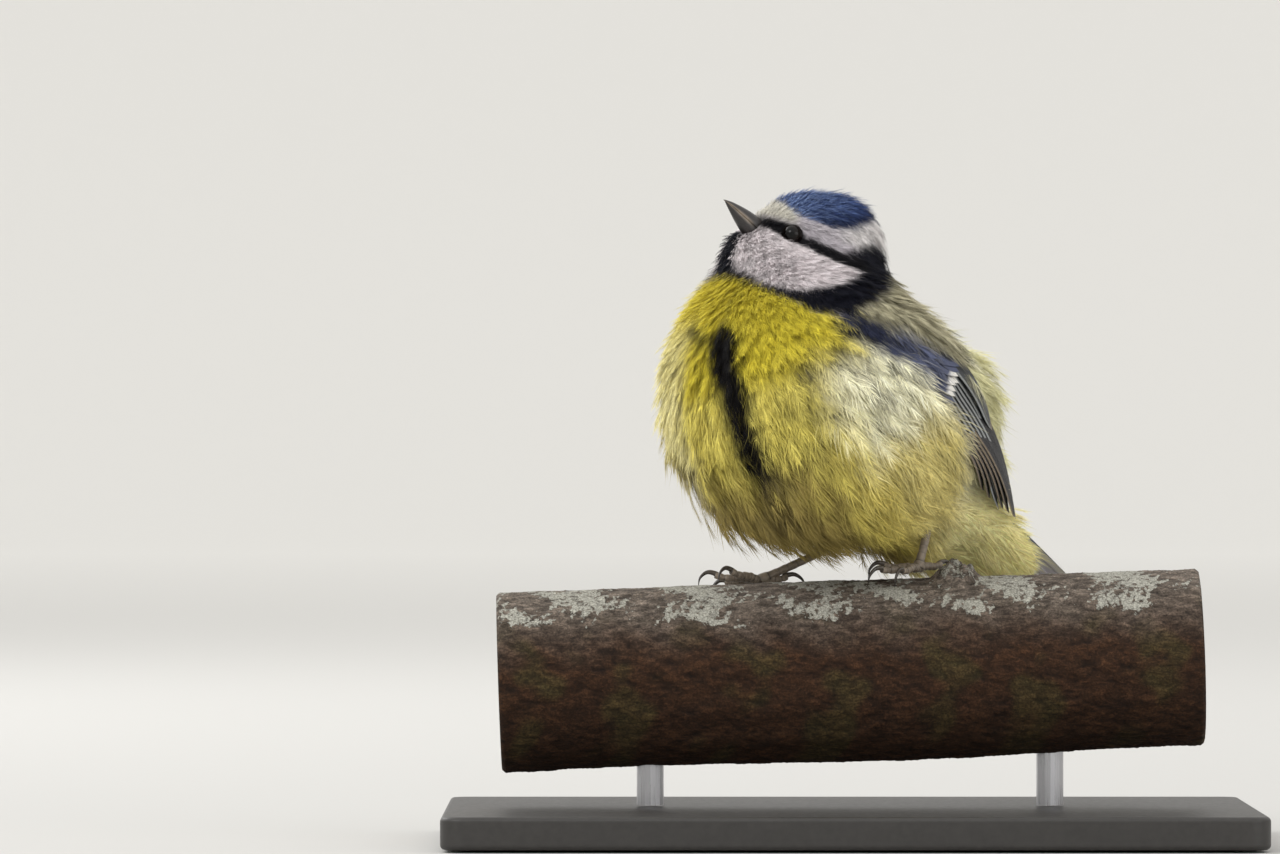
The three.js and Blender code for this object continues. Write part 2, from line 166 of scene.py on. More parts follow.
TARSUS_RADIUS = 0.75
TOE_RADIUS = 0.8
CLAW_RADIUS = 0.55
LIMB_SIDES = 16
GAP = 0.3
TOES = {"inner": (26, 5.8, 4.6), "middle": (0, 7.8, 5.0), "outer": (-25, 6.0, 4.6), "hind": (180, 4.8, 5.2)}
FEET = {
    "left": {"x": 13.2, "round": np.radians(1), "heading": 34, "ankle": (15.2, 3.4, PERCH_TOP + 14.2)},
    "right": {"x": -16.2, "round": np.radians(-22), "heading": 8, "ankle": (-1.6, 11, PERCH_TOP + 6.8)},
}

# The camera looks level from two metres in front of the perch, and sees VIEW_WIDTH of the scene there.
CAMERA_AT = (-38.9, -2000.0, 76.3)
VIEW_WIDTH = 237.04
SENSOR = 36.0


def srgb(red, green, blue):
    """An sRGB colour of 0 to 255 as linear red, green and blue."""
    share = np.array([red, green, blue]) / 255
    return tuple(np.where(share <= 0.04045, share / 12.92, ((share + 0.055) / 1.055) ** 2.4))


def colour_property(name, description, *rgb):
    """A colour setting whose default is given in sRGB from 0 to 255."""
    return FloatVectorProperty(name=name, description=description, default=srgb(*rgb), size=3, min=0, max=1,
                               subtype="COLOR")


def smooth(low, high, value):
    """0 below low, 1 above high, and the cubic 3t^2 - 2t^3 between them."""
    share = np.clip((value - low) / (high - low), 0, 1)
    return share * share * (3 - 2 * share)


def unit(vectors):
    """Vectors divided by their own lengths."""
    return vectors / np.maximum(np.linalg.norm(vectors, axis=-1, keepdims=True), 1e-12)


def dot(a, b):
    """The sum of products along the last axis."""
    return np.sum(a * b, axis=-1)


def mix(a, b, share):
    """a where share is 0 and b where it is 1, for colours a and b and an array of shares."""
    return a + (np.asarray(b) - a) * np.asarray(share)[..., None]


def even(colour, shape):
    """One colour for every place of an array of this shape."""
    return np.broadcast_to(np.array(colour), (*shape, 3))


def scaled(colour, share):
    """A colour with each of its values times share."""
    return tuple(share * value for value in colour)


def with_ends(values):
    """A grid's values in one list, with the first and last again for the middles of its closed ends."""
    flat = values.reshape(-1, values.shape[-1])
    return np.concatenate([flat, flat[:1], flat[-1:]])


def ripple(points, size, seed=0):
    """Smooth unevenness from about -1 to 1: sines of points over size, along nine seeded directions."""
    draw = np.random.default_rng(seed)
    total = np.zeros(points.shape[:-1])
    for octave in (1.0, 1.9, 3.3):
        for _ in range(3):
            way = unit(draw.normal(size=3)) * octave / size * 2 * np.pi
            total += np.sin(points @ way + draw.uniform(0, 2 * np.pi)) / octave
    return total / 3.2


def to_stand(points):
    """The bird's frame turned about the vertical by BIRD_TURN, moved to the perch and scaled to metres."""
    p, q, r = points[..., 0], points[..., 1], points[..., 2]
    s, c = np.sin(BIRD_TURN), np.cos(BIRD_TURN)
    return np.stack([BIRD_X - s * p + c * q, BIRD_Y - c * p - s * q, PERCH_TOP + r], -1) * MM


def axes(pitch, yaw):
    """Rows along, across and under, for an axis raised by pitch and turned by yaw, in degrees."""
    c, s = np.cos(np.radians(pitch)), np.sin(np.radians(pitch))
    cy, sy = np.cos(np.radians(yaw)), np.sin(np.radians(yaw))
    return np.array([[c * cy, c * sy, s], [-sy, cy, 0], [s * cy, s * sy, -c]])


def plumage(points):
    """Below zero inside the plumage: -w ln(sum of exp(-d / w)) over the lobes, d being the distances."""
    total = np.zeros(points.shape[:-1])
    for at, (fore, aft, side, under, over), pitch, yaw in LOBES.values():
        local = (points - np.array(at)) @ axes(pitch, yaw).T
        x, y, z = local[..., 0], local[..., 1], local[..., 2]
        long = np.where(x > 0, fore, aft)
        deep = np.where(z > 0, under, over)
        radii = np.sqrt((x / long) ** 2 + (y / side) ** 2 + (z / deep) ** 2)
        total += np.exp(-np.clip((radii - 1) * np.cbrt(long * side * deep), -60, 600) / LOBE_BLEND)
    return -LOBE_BLEND * np.log(np.maximum(total, 1e-300))


def outward(points):
    """The unit gradient of the plumage's distance, by central differences."""
    step = 0.05
    steps = np.eye(3) * step
    return unit(np.stack([plumage(points + s) - plumage(points - s) for s in steps], -1))


def line_through(knots, shares):
    """A smooth line through the knots at shares of its length: cubic Hermite pieces with mean tangents."""
    knots = np.asarray(knots, float)
    length = np.concatenate([[0], np.cumsum(np.linalg.norm(np.diff(knots[:, :3], axis=0), axis=1))])
    slope = np.gradient(knots, length, axis=0)
    at = np.asarray(shares) * length[-1]
    i = np.clip(np.searchsorted(length, at, side="right") - 1, 0, len(knots) - 2)
    gap = (length[i + 1] - length[i])[..., None]
    t = (at - length[i])[..., None] / gap
    return ((2 * t**3 - 3 * t**2 + 1) * knots[i] + (t**3 - 2 * t**2 + t) * gap * slope[i]
            + (-2 * t**3 + 3 * t**2) * knots[i + 1] + (t**3 - t**2) * gap * slope[i + 1])


def body_grid():
    """Points of the plumage's surface on a grid: rays fan over the face from one point, then leave a line
    down the body at right angles to each ring's axis, then close over the tail. Each goes out until plumage()
    is zero, and the lowest points are then drawn up as BELLY_TUCK and LEG_GAPS say."""
    knots = np.column_stack([np.array(RING_AT, float), RING_PITCH, RING_YAW])
    body = line_through(knots, np.linspace(0, 1, RINGS_ON_BODY))
    face = np.repeat(body[:1], RINGS_ON_FACE, axis=0)
    tail = np.repeat(body[-1:], RINGS_ON_TAIL, axis=0)
    rows = np.concatenate([face, body, tail])
    tilt = np.concatenate([
        np.linspace(0.02, 1, RINGS_ON_FACE, endpoint=False) * np.pi / 2,
        np.full(RINGS_ON_BODY, np.pi / 2),
        (1 + np.linspace(0, 0.98, RINGS_ON_TAIL + 1)[1:]) * np.pi / 2,
    ])[:, None]
    turn = np.arange(RING_SIDES)[None, :] / RING_SIDES * 2 * np.pi
    frames = np.stack([axes(pitch, yaw) for pitch, yaw in rows[:, 3:]])[:, :, None, :]
    around = np.sin(turn)[..., None] * frames[:, 1] + np.cos(turn)[..., None] * frames[:, 2]
    rays = np.sin(tilt)[..., None] * around + np.cos(tilt)[..., None] * frames[:, 0]
    points = np.repeat(rows[:, None, :3], RING_SIDES, axis=1)
    for _ in range(70):
        points = points - rays * (plumage(points) * 0.75)[..., None]
    tuck = BELLY_TUCK * smooth(12, 4, points[..., 2]) * smooth(-20, -10, points[..., 0])
    for at, reach in LEG_GAPS:
        tuck += LEG_TUCK * smooth(reach, 0.3 * reach, np.linalg.norm(points - np.array(at), axis=-1))
    points[..., 2] += tuck
    return points


class Coat:
    """The plumage's surface as a grid of points, each with a normal, steps and an area."""

    def __init__(self):
        self.points = body_grid()
        self.normals = outward(self.points)
        self.rows, self.sides = self.points.shape[:2]
        down = np.gradient(self.points, axis=0)
        wrapped = np.concatenate([self.points[:, -1:], self.points, self.points[:, :1]], axis=1)
        across = (wrapped[:, 2:] - wrapped[:, :-2]) / 2
        self.row_step = np.linalg.norm(down, axis=-1)
        self.side_step = np.linalg.norm(across, axis=-1)
        self.area = np.linalg.norm(np.cross(down, across), axis=-1)

    def sample(self, field, row, side):
        """A field of the grid between its points: bilinear, and closed around the sides."""
        row = np.clip(row, 0, self.rows - 1.001)
        i = row.astype(int)
        j = np.floor(side).astype(int)
        s, t = row - i, side - j
        j0, j1 = j % self.sides, (j + 1) % self.sides
        if field.ndim == 3:
            s, t = s[..., None], t[..., None]
        return ((1 - s) * ((1 - t) * field[i, j0] + t * field[i, j1])
                + s * ((1 - t) * field[i + 1, j0] + t * field[i + 1, j1]))

    def scatter(self, density):
        """Evenly spread roots: a low-discrepancy sequence through running totals of density times area."""
        weight = self.area * density
        rows_total = np.concatenate([[0], np.cumsum(weight.sum(axis=1))])
        count = int(rows_total[-1])
        index = np.arange(1, count + 1)
        first = (0.5 + index * SPREAD[0]) % 1
        second = (0.5 + index * SPREAD[1]) % 1
        row = np.interp(first * rows_total[-1], rows_total, np.arange(self.rows + 1)) - 0.5
        i = np.clip(np.round(row).astype(int), 0, self.rows - 1)
        sides_total = np.concatenate([np.zeros((self.rows, 1)), np.cumsum(weight, axis=1)], axis=1)
        sides_total /= np.maximum(sides_total[:, -1:], 1e-12)
        stacked = (sides_total + 2 * np.arange(self.rows)[:, None]).ravel()
        place = np.searchsorted(stacked, second + 2 * i) - 1
        j = np.clip(place - i * (self.sides + 1), 0, self.sides - 1)
        low, high = sides_total[i, j], sides_total[i, j + 1]
        return np.clip(row, 0, self.rows - 1.01), j - 0.5 + (second - low) / np.maximum(high - low, 1e-9)


def head_place(points):
    """Points in the head's own axes: forward, to the left and up."""
    local = (points - HEAD_AT) @ axes(HEAD_PITCH, HEAD_YAW).T
    return local[..., 0], local[..., 1], -local[..., 2]


def body_place(points):
    """Where points are on the trunk: along its axis, and round it from 0 at the belly to 1 at the back."""
    local = (points - np.array(LOBES["trunk"][0])) @ axes(50, 0).T
    return local[..., 0], np.arctan2(np.abs(local[..., 1]), local[..., 2]) / np.pi


def eye_centre(side):
    """The middle of an eye: out from the skull along a ray to the plumage, then back in by EYE_SUNK."""
    at, _, pitch, yaw = LOBES["skull"]
    along, across, down = axes(pitch, yaw)
    ray = unit(side * across + EYE_FORWARD * along + EYE_DOWN * down)
    point = np.array(at, float)
    for _ in range(90):
        point = point - ray * plumage(point) * 0.8
    return point - ray * EYE_SUNK, ray


# Edges of the head's markings on its side, as pairs of a and c in the head's own axes.
CHEEK_EDGE = ((-4, -1.9), (-0.7, -4.9), (2.6, -8), (7.5, -11.2), (10.5, -12.8), (14.2, -12.9), (15.4, -11.3),
              (18, -10))
COLLAR_EDGE = ((-14, 0), (-8.3, -4.0), (-2.2, -10.2), (1.3, -13.2), (4.7, -15.6), (7.8, -15.9), (10.5, -15.0),
               (13.6, -14.2), (15.6, -12.9), (18, -12.2))
CAP_EDGE = ((-9, 8.7), (-5.8, 8.0), (-0.6, 4.0), (3.4, 2.5), (8.2, 2.6), (10, 3.2), (11.6, 5.6))
STRIPE_LINE = ((-3, -2.4), (0.7, -2.8), (5.2, -2.2), (9.7, -1.0), (13, -0.5), (16, -0.4))

# The eye stripe's half width at each a, and the a of the cap's front and of the cheek's back.
STRIPE_HALF = ((-3, 1.5), (0, 1.4), (4, 1.2), (7, 1.2), (10, 1.7), (12, 1.3), (14, 1.0))
CAP_FRONT = 11.6
CHEEK_BACK = -4.0

# The middle of the belly's dark stripe, as pairs of r and q in the bird's frame.
VENTRAL_LINE = ((8, 8), (18.6, 10.8), (24, 10.7), (31.4, 9.0), (38.8, 6.0), (44, 4.4), (50, 3))

# Places where the wind parts the coat and its grey down shows: where, how wide and how strongly. The spot
# below is a painted shadow: near-black painted into the coat where it opens between mantle and rump.
RUMP_SHADOW = (-8.6, 22.2, 41.0)
PARTINGS = (
    ((26.3, 20.4, 37.5), 2.9, 0.85),
    ((25.5, 20.5, 31.0), 6.0, 0.3),
    ((23.1, 22.8, 38.4), 2.0, 0.6),
    ((14.1, 27.7, 33.3), 2.4, 0.8),
    ((17.0, 26.5, 35.8), 2.2, 0.6),
    ((21.0, 23.4, 41.6), 3.0, 0.6),
    ((17.5, 25.5, 40.4), 2.4, 0.5),
    ((24.0, 18.5, 24.0), 3.4, 0.35),
    ((27.5, 14.0, 16.0), 3.2, 0.45),
    ((22.0, 8.0, 8.0), 4.0, 0.4),
    ((21.0, -19.0, 34.0), 2.4, 0.5),
    ((10.0, -26.0, 31.0), 2.6, 0.5),
)

# Where the face's coat stands out over and under the bill: where, how wide and how high.
PUFFS = (
    ((19.5, -1.5, 66.5), 4.5, 0.7),
    ((20.5, 0.0, 62.0), 5.0, 0.5),
)


def edge(knots, at):
    """The height of a line of straight pieces through the knots."""
    knots = np.array(knots, float)
    return np.interp(at, knots[:, 0], knots[:, 1])


def markings(points, dye):
    """The colour of the coat at points of the plumage, from the edges above and places on head and body."""
    a, b, c = head_place(points)
    along, around = body_place(points)
    p, q, r = points[..., 0], points[..., 1], points[..., 2]
    wave = ripple(points, 6, 1)
    fine = ripple(points, 1.6, 2)

    def whole(colour):
        return even(colour, a.shape)

    colour = whole(dye.breast)
    colour = mix(colour, dye.throat, smooth(15, 21, along + 1.5 * wave) * smooth(0.56, 0.4, around))
    flank = smooth(0.27, 0.39, around + 0.04 * wave) * smooth(18, 12, along + 2 * wave)
    colour = mix(colour, dye.flank, flank)
    low_flank = smooth(0.2, 0.3, around) * smooth(0, -9, along + 3 * wave) * smooth(0.62, 0.5, around)
    colour = mix(colour, dye.low_flank, 0.8 * low_flank)
    # The lower underside turns to dull buff: partly the grey of feather bases, partly painted shade.
    belly = smooth(0.3, 0.17, around + 0.05 * wave) * smooth(9, -4, along + 3 * wave)
    colour = mix(colour, dye.belly, 0.85 * belly)
    colour = mix(colour, dye.vent, smooth(-13, -19, p + 1.5 * wave) * smooth(20, 12, r + wave))
    colour = mix(colour, dye.mantle, smooth(0.5, 0.54, around + 0.02 * fine) * smooth(-12, -6, p))
    colour = mix(colour, dye.rump, smooth(0.53, 0.6, around) * smooth(-10, -17, p + wave) * smooth(16, 20, r))

    far = smooth(-2, -9, q + wave) * smooth(50, 42, r) * smooth(10, 18, r) * smooth(0.5, 0.4, around)
    colour = mix(colour, dye.flank, 0.42 * far)
    centre = edge(VENTRAL_LINE, r)
    width = (2.7 + 0.7 * smooth(24, 40, r)) * smooth(8, 22, r) * smooth(48, 44, r) + 0.2
    stripe = smooth(width + 0.8, width - 0.8, np.abs(q - centre + 0.8 * wave + 0.6 * fine)) * smooth(8, 14, p)
    streak = smooth(1.5, 0.6, np.abs(r - 44.2 + 0.25 * q + 0.6 * wave)) * smooth(-8, -5, q) * smooth(4, 2, q)
    streak = streak * smooth(20, 24, p)
    colour = mix(colour, dye.stripe, np.maximum(stripe * smooth(8, 14, r), 0.75 * streak))
    for at, size, strength in PARTINGS:
        gap = np.linalg.norm((points - np.array(at)) * np.array([1, 1, 1.6]), axis=-1)
        parted = smooth(size * 1.3, size * 0.5, gap + 1.4 * fine + 0.8 * wave)
        colour = mix(colour, dye.down, strength * parted)
    # Painted shadow: near-black painted where the coat opens between mantle and rump.
    gap = np.linalg.norm(points - np.array(RUMP_SHADOW), axis=-1)
    colour = mix(colour, dye.stripe, 0.9 * smooth(5.0, 3.4, gap + 0.7 * fine))
    patch, wingward = shoulder_patch(points, fine)
    colour = mix(colour, mix(whole(dye.small_covert), dye.covert, wingward), patch)

    soft = 0.22
    on_head = smooth(-soft, soft, c - edge(COLLAR_EDGE, a) + 0.35 * fine)
    # Above the eye stripe the head's white is greyed: painted shade on the white band round the cap.
    white = mix(whole(dye.cheek), dye.shaded_brow, smooth(-1, 1, c - edge(STRIPE_LINE, a)))
    white = mix(white, dye.forehead, smooth(8.5, 10.5, a) * smooth(0, 2, c))
    white = mix(white, dye.bar, 0.5 * smooth(4, -2, a) * smooth(0, 1.5, c))
    hair = ripple(np.stack([0.3 * a, b, 0.8 * c], -1), 0.9, 4)
    shaded = (0.2 + 0.25 * smooth(6, 13, a) * smooth(1, -1, c)) * smooth(-0.3, 0.5, hair)
    white = white * (1 - shaded)[..., None]
    colour = mix(colour, white, on_head)
    below_cheek = smooth(soft, -soft, c - edge(CHEEK_EDGE, a) + 0.3 * fine)
    nape = smooth(soft, -soft, c - np.clip(-1.5 + 0.75 * (0.7 - a), -9, 3.4) + 0.35 * fine)
    behind = smooth(CHEEK_BACK + soft, CHEEK_BACK - soft, a + 0.3 * fine)
    behind = np.maximum(behind, smooth(1.2, 0.4, a) * smooth(-3.4, -2.6, c))
    bib_half = 2.3 + 0.08 * np.clip(-c, 0, 12)
    bib = smooth(bib_half + soft, bib_half - soft, np.abs(b + 1.2 + 0.25 * fine))
    bib = bib * smooth(-2.4, -3.2, c) * smooth(9, 11, a)
    dark = np.maximum.reduce([below_cheek, nape * behind, bib]) * on_head
    colour = mix(colour, dye.collar, dark)
    half = edge(STRIPE_HALF, a)
    beside = np.abs(c - edge(STRIPE_LINE, a) + 0.15 * fine)
    line = smooth(half + soft, half - soft, beside) * smooth(-5, -3, a)
    colour = mix(colour, dye.eye_stripe, line * on_head)
    cap = smooth(-soft, soft, c - edge(CAP_EDGE, a) + 0.3 * fine)
    cap = cap * smooth(CAP_FRONT, CAP_FRONT - 1.2, a + 0.4 * fine)
    # The cap: streaks of paler blue, brightest towards the front, stand partly for the cap's own streaks and
    # partly for painted highlight; dark blue along its lower edge and over its back half is painted shade.
    streaks = ripple(np.stack([0.14 * a, b, c], -1), 1.0, 3)
    blue = mix(whole(dye.cap), dye.cap_streak_highlight, smooth(-0.1, 0.9, streaks) * smooth(-6, 5, a))
    rim = smooth(4.2, 0.8, c - edge(CAP_EDGE, a) + 0.8 * fine) * smooth(9, 3, a)
    rim = np.maximum(rim, smooth(0.2, -0.3, streaks))
    rim = np.maximum(rim, 0.55 * smooth(0, -7, a))
    colour = mix(colour, mix(blue, dye.cap_streak_shade, 0.85 * rim), cap)
    return np.clip(colour, 0, 1)


def shoulder_patch(points, fine):
    """How much of the coat is the shoulder's small slate feathers, ahead of the wing's open part, and how
    much they have turned to the blue of the wing's coverts."""
    share = np.zeros(points.shape[:-1])
    wingward = np.zeros(points.shape[:-1])
    near = (np.abs(points[..., 1]) > 15) & (points[..., 2] > 30) & (points[..., 2] < 56)
    s, t, gap = wing_place(points[near])
    ragged = 0.12 * fine[near]
    upper = np.interp(s, (0, 0.07, 0.15, 0.3), (0.12, 0.02, 0.15, 0.4))
    lower = np.interp(s, (0, 0.05, 0.15, 0.3), (-0.7, -0.95, -1.15, -1.2))
    inside = smooth(upper + 0.12, upper - 0.05, t + ragged) * smooth(lower - 0.1, lower + 0.1, t + ragged)
    share[near] = inside * smooth(7.2, 6.2, gap) * smooth(0.34, 0.26, s)
    wingward[near] = smooth(0.05, 0.16, s + 0.4 * ragged)
    return share, wingward


def mesh_piece(name, points, triangles, colours=None, uvs=None, smooth_faces=True, layer="OFBake"):
    """A mesh object at the origin from arrays: points in metres, triangles, and a colour and UV per point."""
    mesh = bpy.data.meshes.new(name)
    points = np.ascontiguousarray(points, dtype=np.float32).reshape(-1, 3)
    triangles = np.ascontiguousarray(triangles, dtype=np.int32).reshape(-1, 3)
    mesh.vertices.add(len(points))
    mesh.vertices.foreach_set("co", points.ravel())
    mesh.loops.add(triangles.size)
    mesh.loops.foreach_set("vertex_index", triangles.ravel())
    mesh.polygons.add(len(triangles))
    mesh.polygons.foreach_set("loop_start", np.arange(0, triangles.size, 3, dtype=np.int32))
    mesh.polygons.foreach_set("use_smooth", np.full(len(triangles), smooth_faces))
    mesh.update(calc_edges=True)
    if colours is not None:
        rgba = np.ones((len(points), 4), dtype=np.float32)
        rgba[:, :colours.shape[-1]] = np.clip(colours, 0, 1).reshape(len(points), -1)
        attribute = mesh.color_attributes.new("dye", "FLOAT_COLOR", "POINT")
        attribute.data.foreach_set("color", rgba.ravel())
    if uvs is not None:
        uvs = np.ascontiguousarray(uvs, dtype=np.float32).reshape(-1, 2)
        mesh.uv_layers.new(name=layer).data.foreach_set("uv", uvs[triangles.ravel()].ravel())
    if mesh.validate():
        raise RuntimeError(f"{name} had faces that had to be mended")
    piece = bpy.data.objects.new(name, mesh)
    bpy.context.scene.collection.objects.link(piece)
    return piece


def finish_piece(piece, material, slot, *nodes):
    """Gives a piece its material and its place on the part, and hides the nodes that it stands for; slot is
    not used.
    """
    piece.data.materials.append(material)
    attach(piece, "root")
    if nodes:
        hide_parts(*nodes)


def grid_triangles(rows, sides):
    """Triangles between neighbours of a grid closed around its sides."""
    i = np.arange(rows - 1)[:, None]
    j = np.arange(sides)[None, :]
    k = (j + 1) % sides
    a, b, c, d = i * sides + j, i * sides + k, (i + 1) * sides + k, (i + 1) * sides + j
    return np.stack([np.stack([a, b, c], -1), np.stack([a, c, d], -1)]).reshape(-1, 3)


def closed_grid(points):
    """A grid closed around its sides, and by fans to the middles of its first and last row, facing out."""
    rows, sides = points.shape[:2]
    ends = np.stack([points[0].mean(axis=0), points[-1].mean(axis=0)])
    j = np.arange(sides)
    k = (j + 1) % sides
    first = np.stack([np.full(sides, rows * sides), k, j], -1)
    last = np.stack([np.full(sides, rows * sides + 1), (rows - 1) * sides + j, (rows - 1) * sides + k], -1)
    triangles = np.concatenate([grid_triangles(rows, sides), first, last])
    flat = np.concatenate([points.reshape(-1, 3), ends])
    if signed_volume(flat, triangles) < 0:
        triangles = triangles[:, ::-1]
    return flat, triangles


def signed_volume(points, triangles):
    """A closed mesh's volume, below zero if it faces inwards: a sixth of the sum of a dot (b cross c)."""
    a, b, c = points[triangles[:, 0]], points[triangles[:, 1]], points[triangles[:, 2]]
    return float(np.sum(dot(a, np.cross(b, c)))) / 6


def joined(parts):
    """Several (points, triangles, colours, uvs) as one set of arrays."""
    points, triangles, colours, uvs = [], [], [], []
    start = 0
    for part_points, part_triangles, part_colours, part_uvs in parts:
        points.append(part_points)
        triangles.append(part_triangles + start)
        colours.append(part_colours)
        uvs.append(part_uvs)
        start += len(part_points)
    return np.concatenate(points), np.concatenate(triangles), np.concatenate(colours), np.concatenate(uvs)


class Shader:
    """Builds one procedural material: nodes are added by type, and inputs are links or constants."""

    def __init__(self, name):
        self.material = bpy.data.materials.new(name)
        self.material.use_nodes = True
        self.tree = self.material.node_tree
        self.surface = next(n for n in self.tree.nodes if n.type == "BSDF_PRINCIPLED")

    def add(self, kind, values=None, **settings):
        node = self.tree.nodes.new("ShaderNode" + kind)
        for key, value in settings.items():
            setattr(node, key, value)
        for key, value in (values or {}).items():
            self.put(node, key, value)
        return node

    def put(self, node, key, value):
        if isinstance(value, bpy.types.NodeSocket):
            self.tree.links.new(value, node.inputs[key])
        else:
            node.inputs[key].default_value = value

    def set(self, **values):
        """Sets sockets of the surface: underscores stand for the spaces in their names."""
        for key, value in values.items():
            self.put(self.surface, key.replace("_", " "), value)

    def dye(self):
        return self.add("Attribute", attribute_name="dye").outputs["Color"]

    def place(self, scale=(1, 1, 1), turn=(0, 0, 0)):
        """Object coordinates, scaled and turned."""
        at = self.add("TexCoord").outputs["Object"]
        return self.add("Mapping", {"Vector": at, "Scale": scale, "Rotation": turn}).outputs["Vector"]

    def uv(self, layer, turn=(0, 0, 0)):
        at = self.add("UVMap", uv_map=layer).outputs["UV"]
        return self.add("Mapping", {"Vector": at, "Rotation": turn}).outputs["Vector"]

    def noise(self, vector, scale, detail=4.0, rough=0.55, warp=0.0):
        return self.add("TexNoise", {"Vector": vector, "Scale": scale, "Detail": detail, "Roughness": rough,
                                     "Distortion": warp}).outputs["Fac"]

    def wave(self, vector, scale, warp=0.0, **settings):
        values = {"Vector": vector, "Scale": scale, "Distortion": warp}
        return self.add("TexWave", values, **settings).outputs["Fac"]

    def ramp(self, value, *stops):
        """A value through stops of (place, colour or grey)."""
        node = self.add("ValToRGB", {"Fac": value})
        elements = node.color_ramp.elements
        while len(elements) < len(stops):
            elements.new(0.5)
        for element, (place, colour) in zip(elements, stops):
            element.position = place
            grey = isinstance(colour, (int, float))
            element.color = (colour, colour, colour, 1) if grey else (*colour, 1)
        return node.outputs["Color"]

    def blend(self, kind, share, first, second):
        values = {0: share, 6: first, 7: second}
        return self.add("Mix", data_type="RGBA", blend_type=kind, values=values).outputs[2]

    def toned(self, colour, value, *stops):
        """A colour times a value put through stops."""
        return self.blend("MULTIPLY", 1.0, colour, self.ramp(value, *stops))

    def bump(self, height, distance, strength=1.0, below=None):
        values = {"Height": height, "Distance": distance, "Strength": strength}
        if below is not None:
            values["Normal"] = below
        return self.add("Bump", values).outputs["Normal"]


def plumage_material(name):
    """Dyed feather: the coat's own colour with fine streaks of light and dark, dull, with a little sheen."""
    shader = Shader(name)
    grain = shader.noise(shader.place(), 900.0, 3.0)
    shader.set(Base_Color=shader.toned(shader.dye(), grain, (0.3, 0.86), (0.7, 1.12)),
               Roughness=shader.ramp(grain, (0.2, 0.62), (0.8, 0.85)), Specular_IOR_Level=0.15)
    return shader.material


def vane_material(name):
    """A flight feather: its dyed colour with slanting barbs as fine stripes and bump, and a satin gloss."""
    shader = Shader(name)
    barbs = shader.wave(shader.uv("Vane", turn=(0, 0, 0.5)), 60.0, 0.6, bands_direction="Y")
    shader.set(Base_Color=shader.toned(shader.dye(), barbs, (0.0, 0.82), (1.0, 1.1)),
               Roughness=shader.ramp(barbs, (0, 0.42), (1, 0.6)), Specular_IOR_Level=0.3,
               Normal=shader.bump(barbs, 0.00006, 0.6))
    return shader.material


def coat_length(reach):
    """How long the feathers are at each distance from the bill, in millimetres."""
    return np.interp(reach, (1, 4, 9, 16, 24, 31, 42), (1.3, 2.0, 3.0, 4.0, 5.6, 8.6, 12.0))


def coat_depth(reach):
    """How far the skin lies under the tips of the coat."""
    return 0.27 * coat_length(reach)


def coat_spacing(length):
    """How far apart the roots of feathers of each length are, in millimetres."""
    return np.interp(length, (1.3, 2, 3, 4.2, 5.8, 8.5, 12), (0.33, 0.42, 0.57, 0.72, 0.86, 1.12, 1.45))


class BlueTitSizes(bpy.types.PropertyGroup):
    density: FloatProperty(name="Feather density", default=1.0, min=0.05, max=1.5,
                           description="How many feathers there are, as a share of the full coat")
    strands: IntProperty(name="Barbs", default=54, min=6, max=80,
                         description="Barbs in each large body feather")
    head_strands: IntProperty(name="Head barbs", default=14, min=4, max=40,
                              description="Barbs in each small head feather")
    fluff: FloatProperty(name="Fluff", default=0.22 * MM, unit="LENGTH", min=0, max=0.003,
                         description="How far the tips of the coat scatter in height")
    lichen: FloatProperty(name="Lichen", default=0.6, min=0, max=1, subtype="FACTOR",
                          description="How much of the perch's top is crusted with lichen")


class BlueTitDyes(bpy.types.PropertyGroup):
    cap: colour_property("Cap", "Blue of the crown", 56, 78, 134)
    # Cap colours: the paler streaks are partly painted highlight, and the dark of the rim and the back is
    # painted shade.
    cap_streak_highlight: colour_property("Cap light", "Paler blue of the crown", 146, 170, 214)
    cap_streak_shade: colour_property("Cap dark", "Rim of the crown", 18, 22, 46)
    forehead: colour_property("Forehead", "White over the bill", 212, 208, 196)
    # Brow: the white band round the cap, greyed to lilac grey as painted shade.
    shaded_brow: colour_property("Brow", "White band round the cap", 196, 190, 196)
    cheek: colour_property("Cheek", "White of the cheek", 238, 230, 232)
    eye_stripe: colour_property("Eye stripe", "Line through the eye", 14, 13, 18)
    collar: colour_property("Collar", "Blue-black of collar, nape and bib", 9, 11, 24)
    throat: colour_property("Throat", "Golden yellow under the collar", 208, 192, 58)
    breast: colour_property("Breast", "Yellow of the breast", 220, 206, 104)
    flank: colour_property("Flank", "Pale yellow of the flank", 248, 244, 212)
    low_flank: colour_property("Low flank", "Ochre yellow of the lower flank", 222, 204, 108)
    # Belly: dull buff that stands partly for grey feather bases and partly for painted shade on the lower
    # underside.
    belly: colour_property("Belly", "Dull buff of the belly", 146, 126, 76)
    vent: colour_property("Vent", "Pale yellow under the tail", 255, 243, 178)
    stripe: colour_property("Belly stripe", "Dark line down the belly", 8, 6, 7)
    mantle: colour_property("Mantle", "Grey olive of the back", 176, 170, 142)
    rump: colour_property("Rump", "Pale yellow-grey of the rump", 216, 212, 166)
    down: colour_property("Down", "Grey of a feather's base", 52, 48, 49)
    covert: colour_property("Covert", "Blue of the wing's coverts", 92, 98, 124)
    small_covert: colour_property("Small covert", "Slate of the shoulder", 40, 44, 64)
    bar: colour_property("Wing bar", "White tips of the coverts", 255, 252, 246)
    flight: colour_property("Flight", "Dark vane of a flight feather", 36, 34, 38)
    edging: colour_property("Edging", "Pale grey edge of a flight feather", 170, 174, 174)
    buff: colour_property("Buff", "Worn brown edge of a flight feather", 158, 140, 116)
    tertial: colour_property("Tertial", "Grey of the innermost wing feathers", 78, 80, 84)
    tail: colour_property("Tail", "Blue of the tail", 118, 128, 156)
    tail_dark: colour_property("Tail dark", "Inner web of a tail feather", 70, 76, 96)
    undertail: colour_property("Undertail", "Pale underside of the tail", 214, 210, 228)


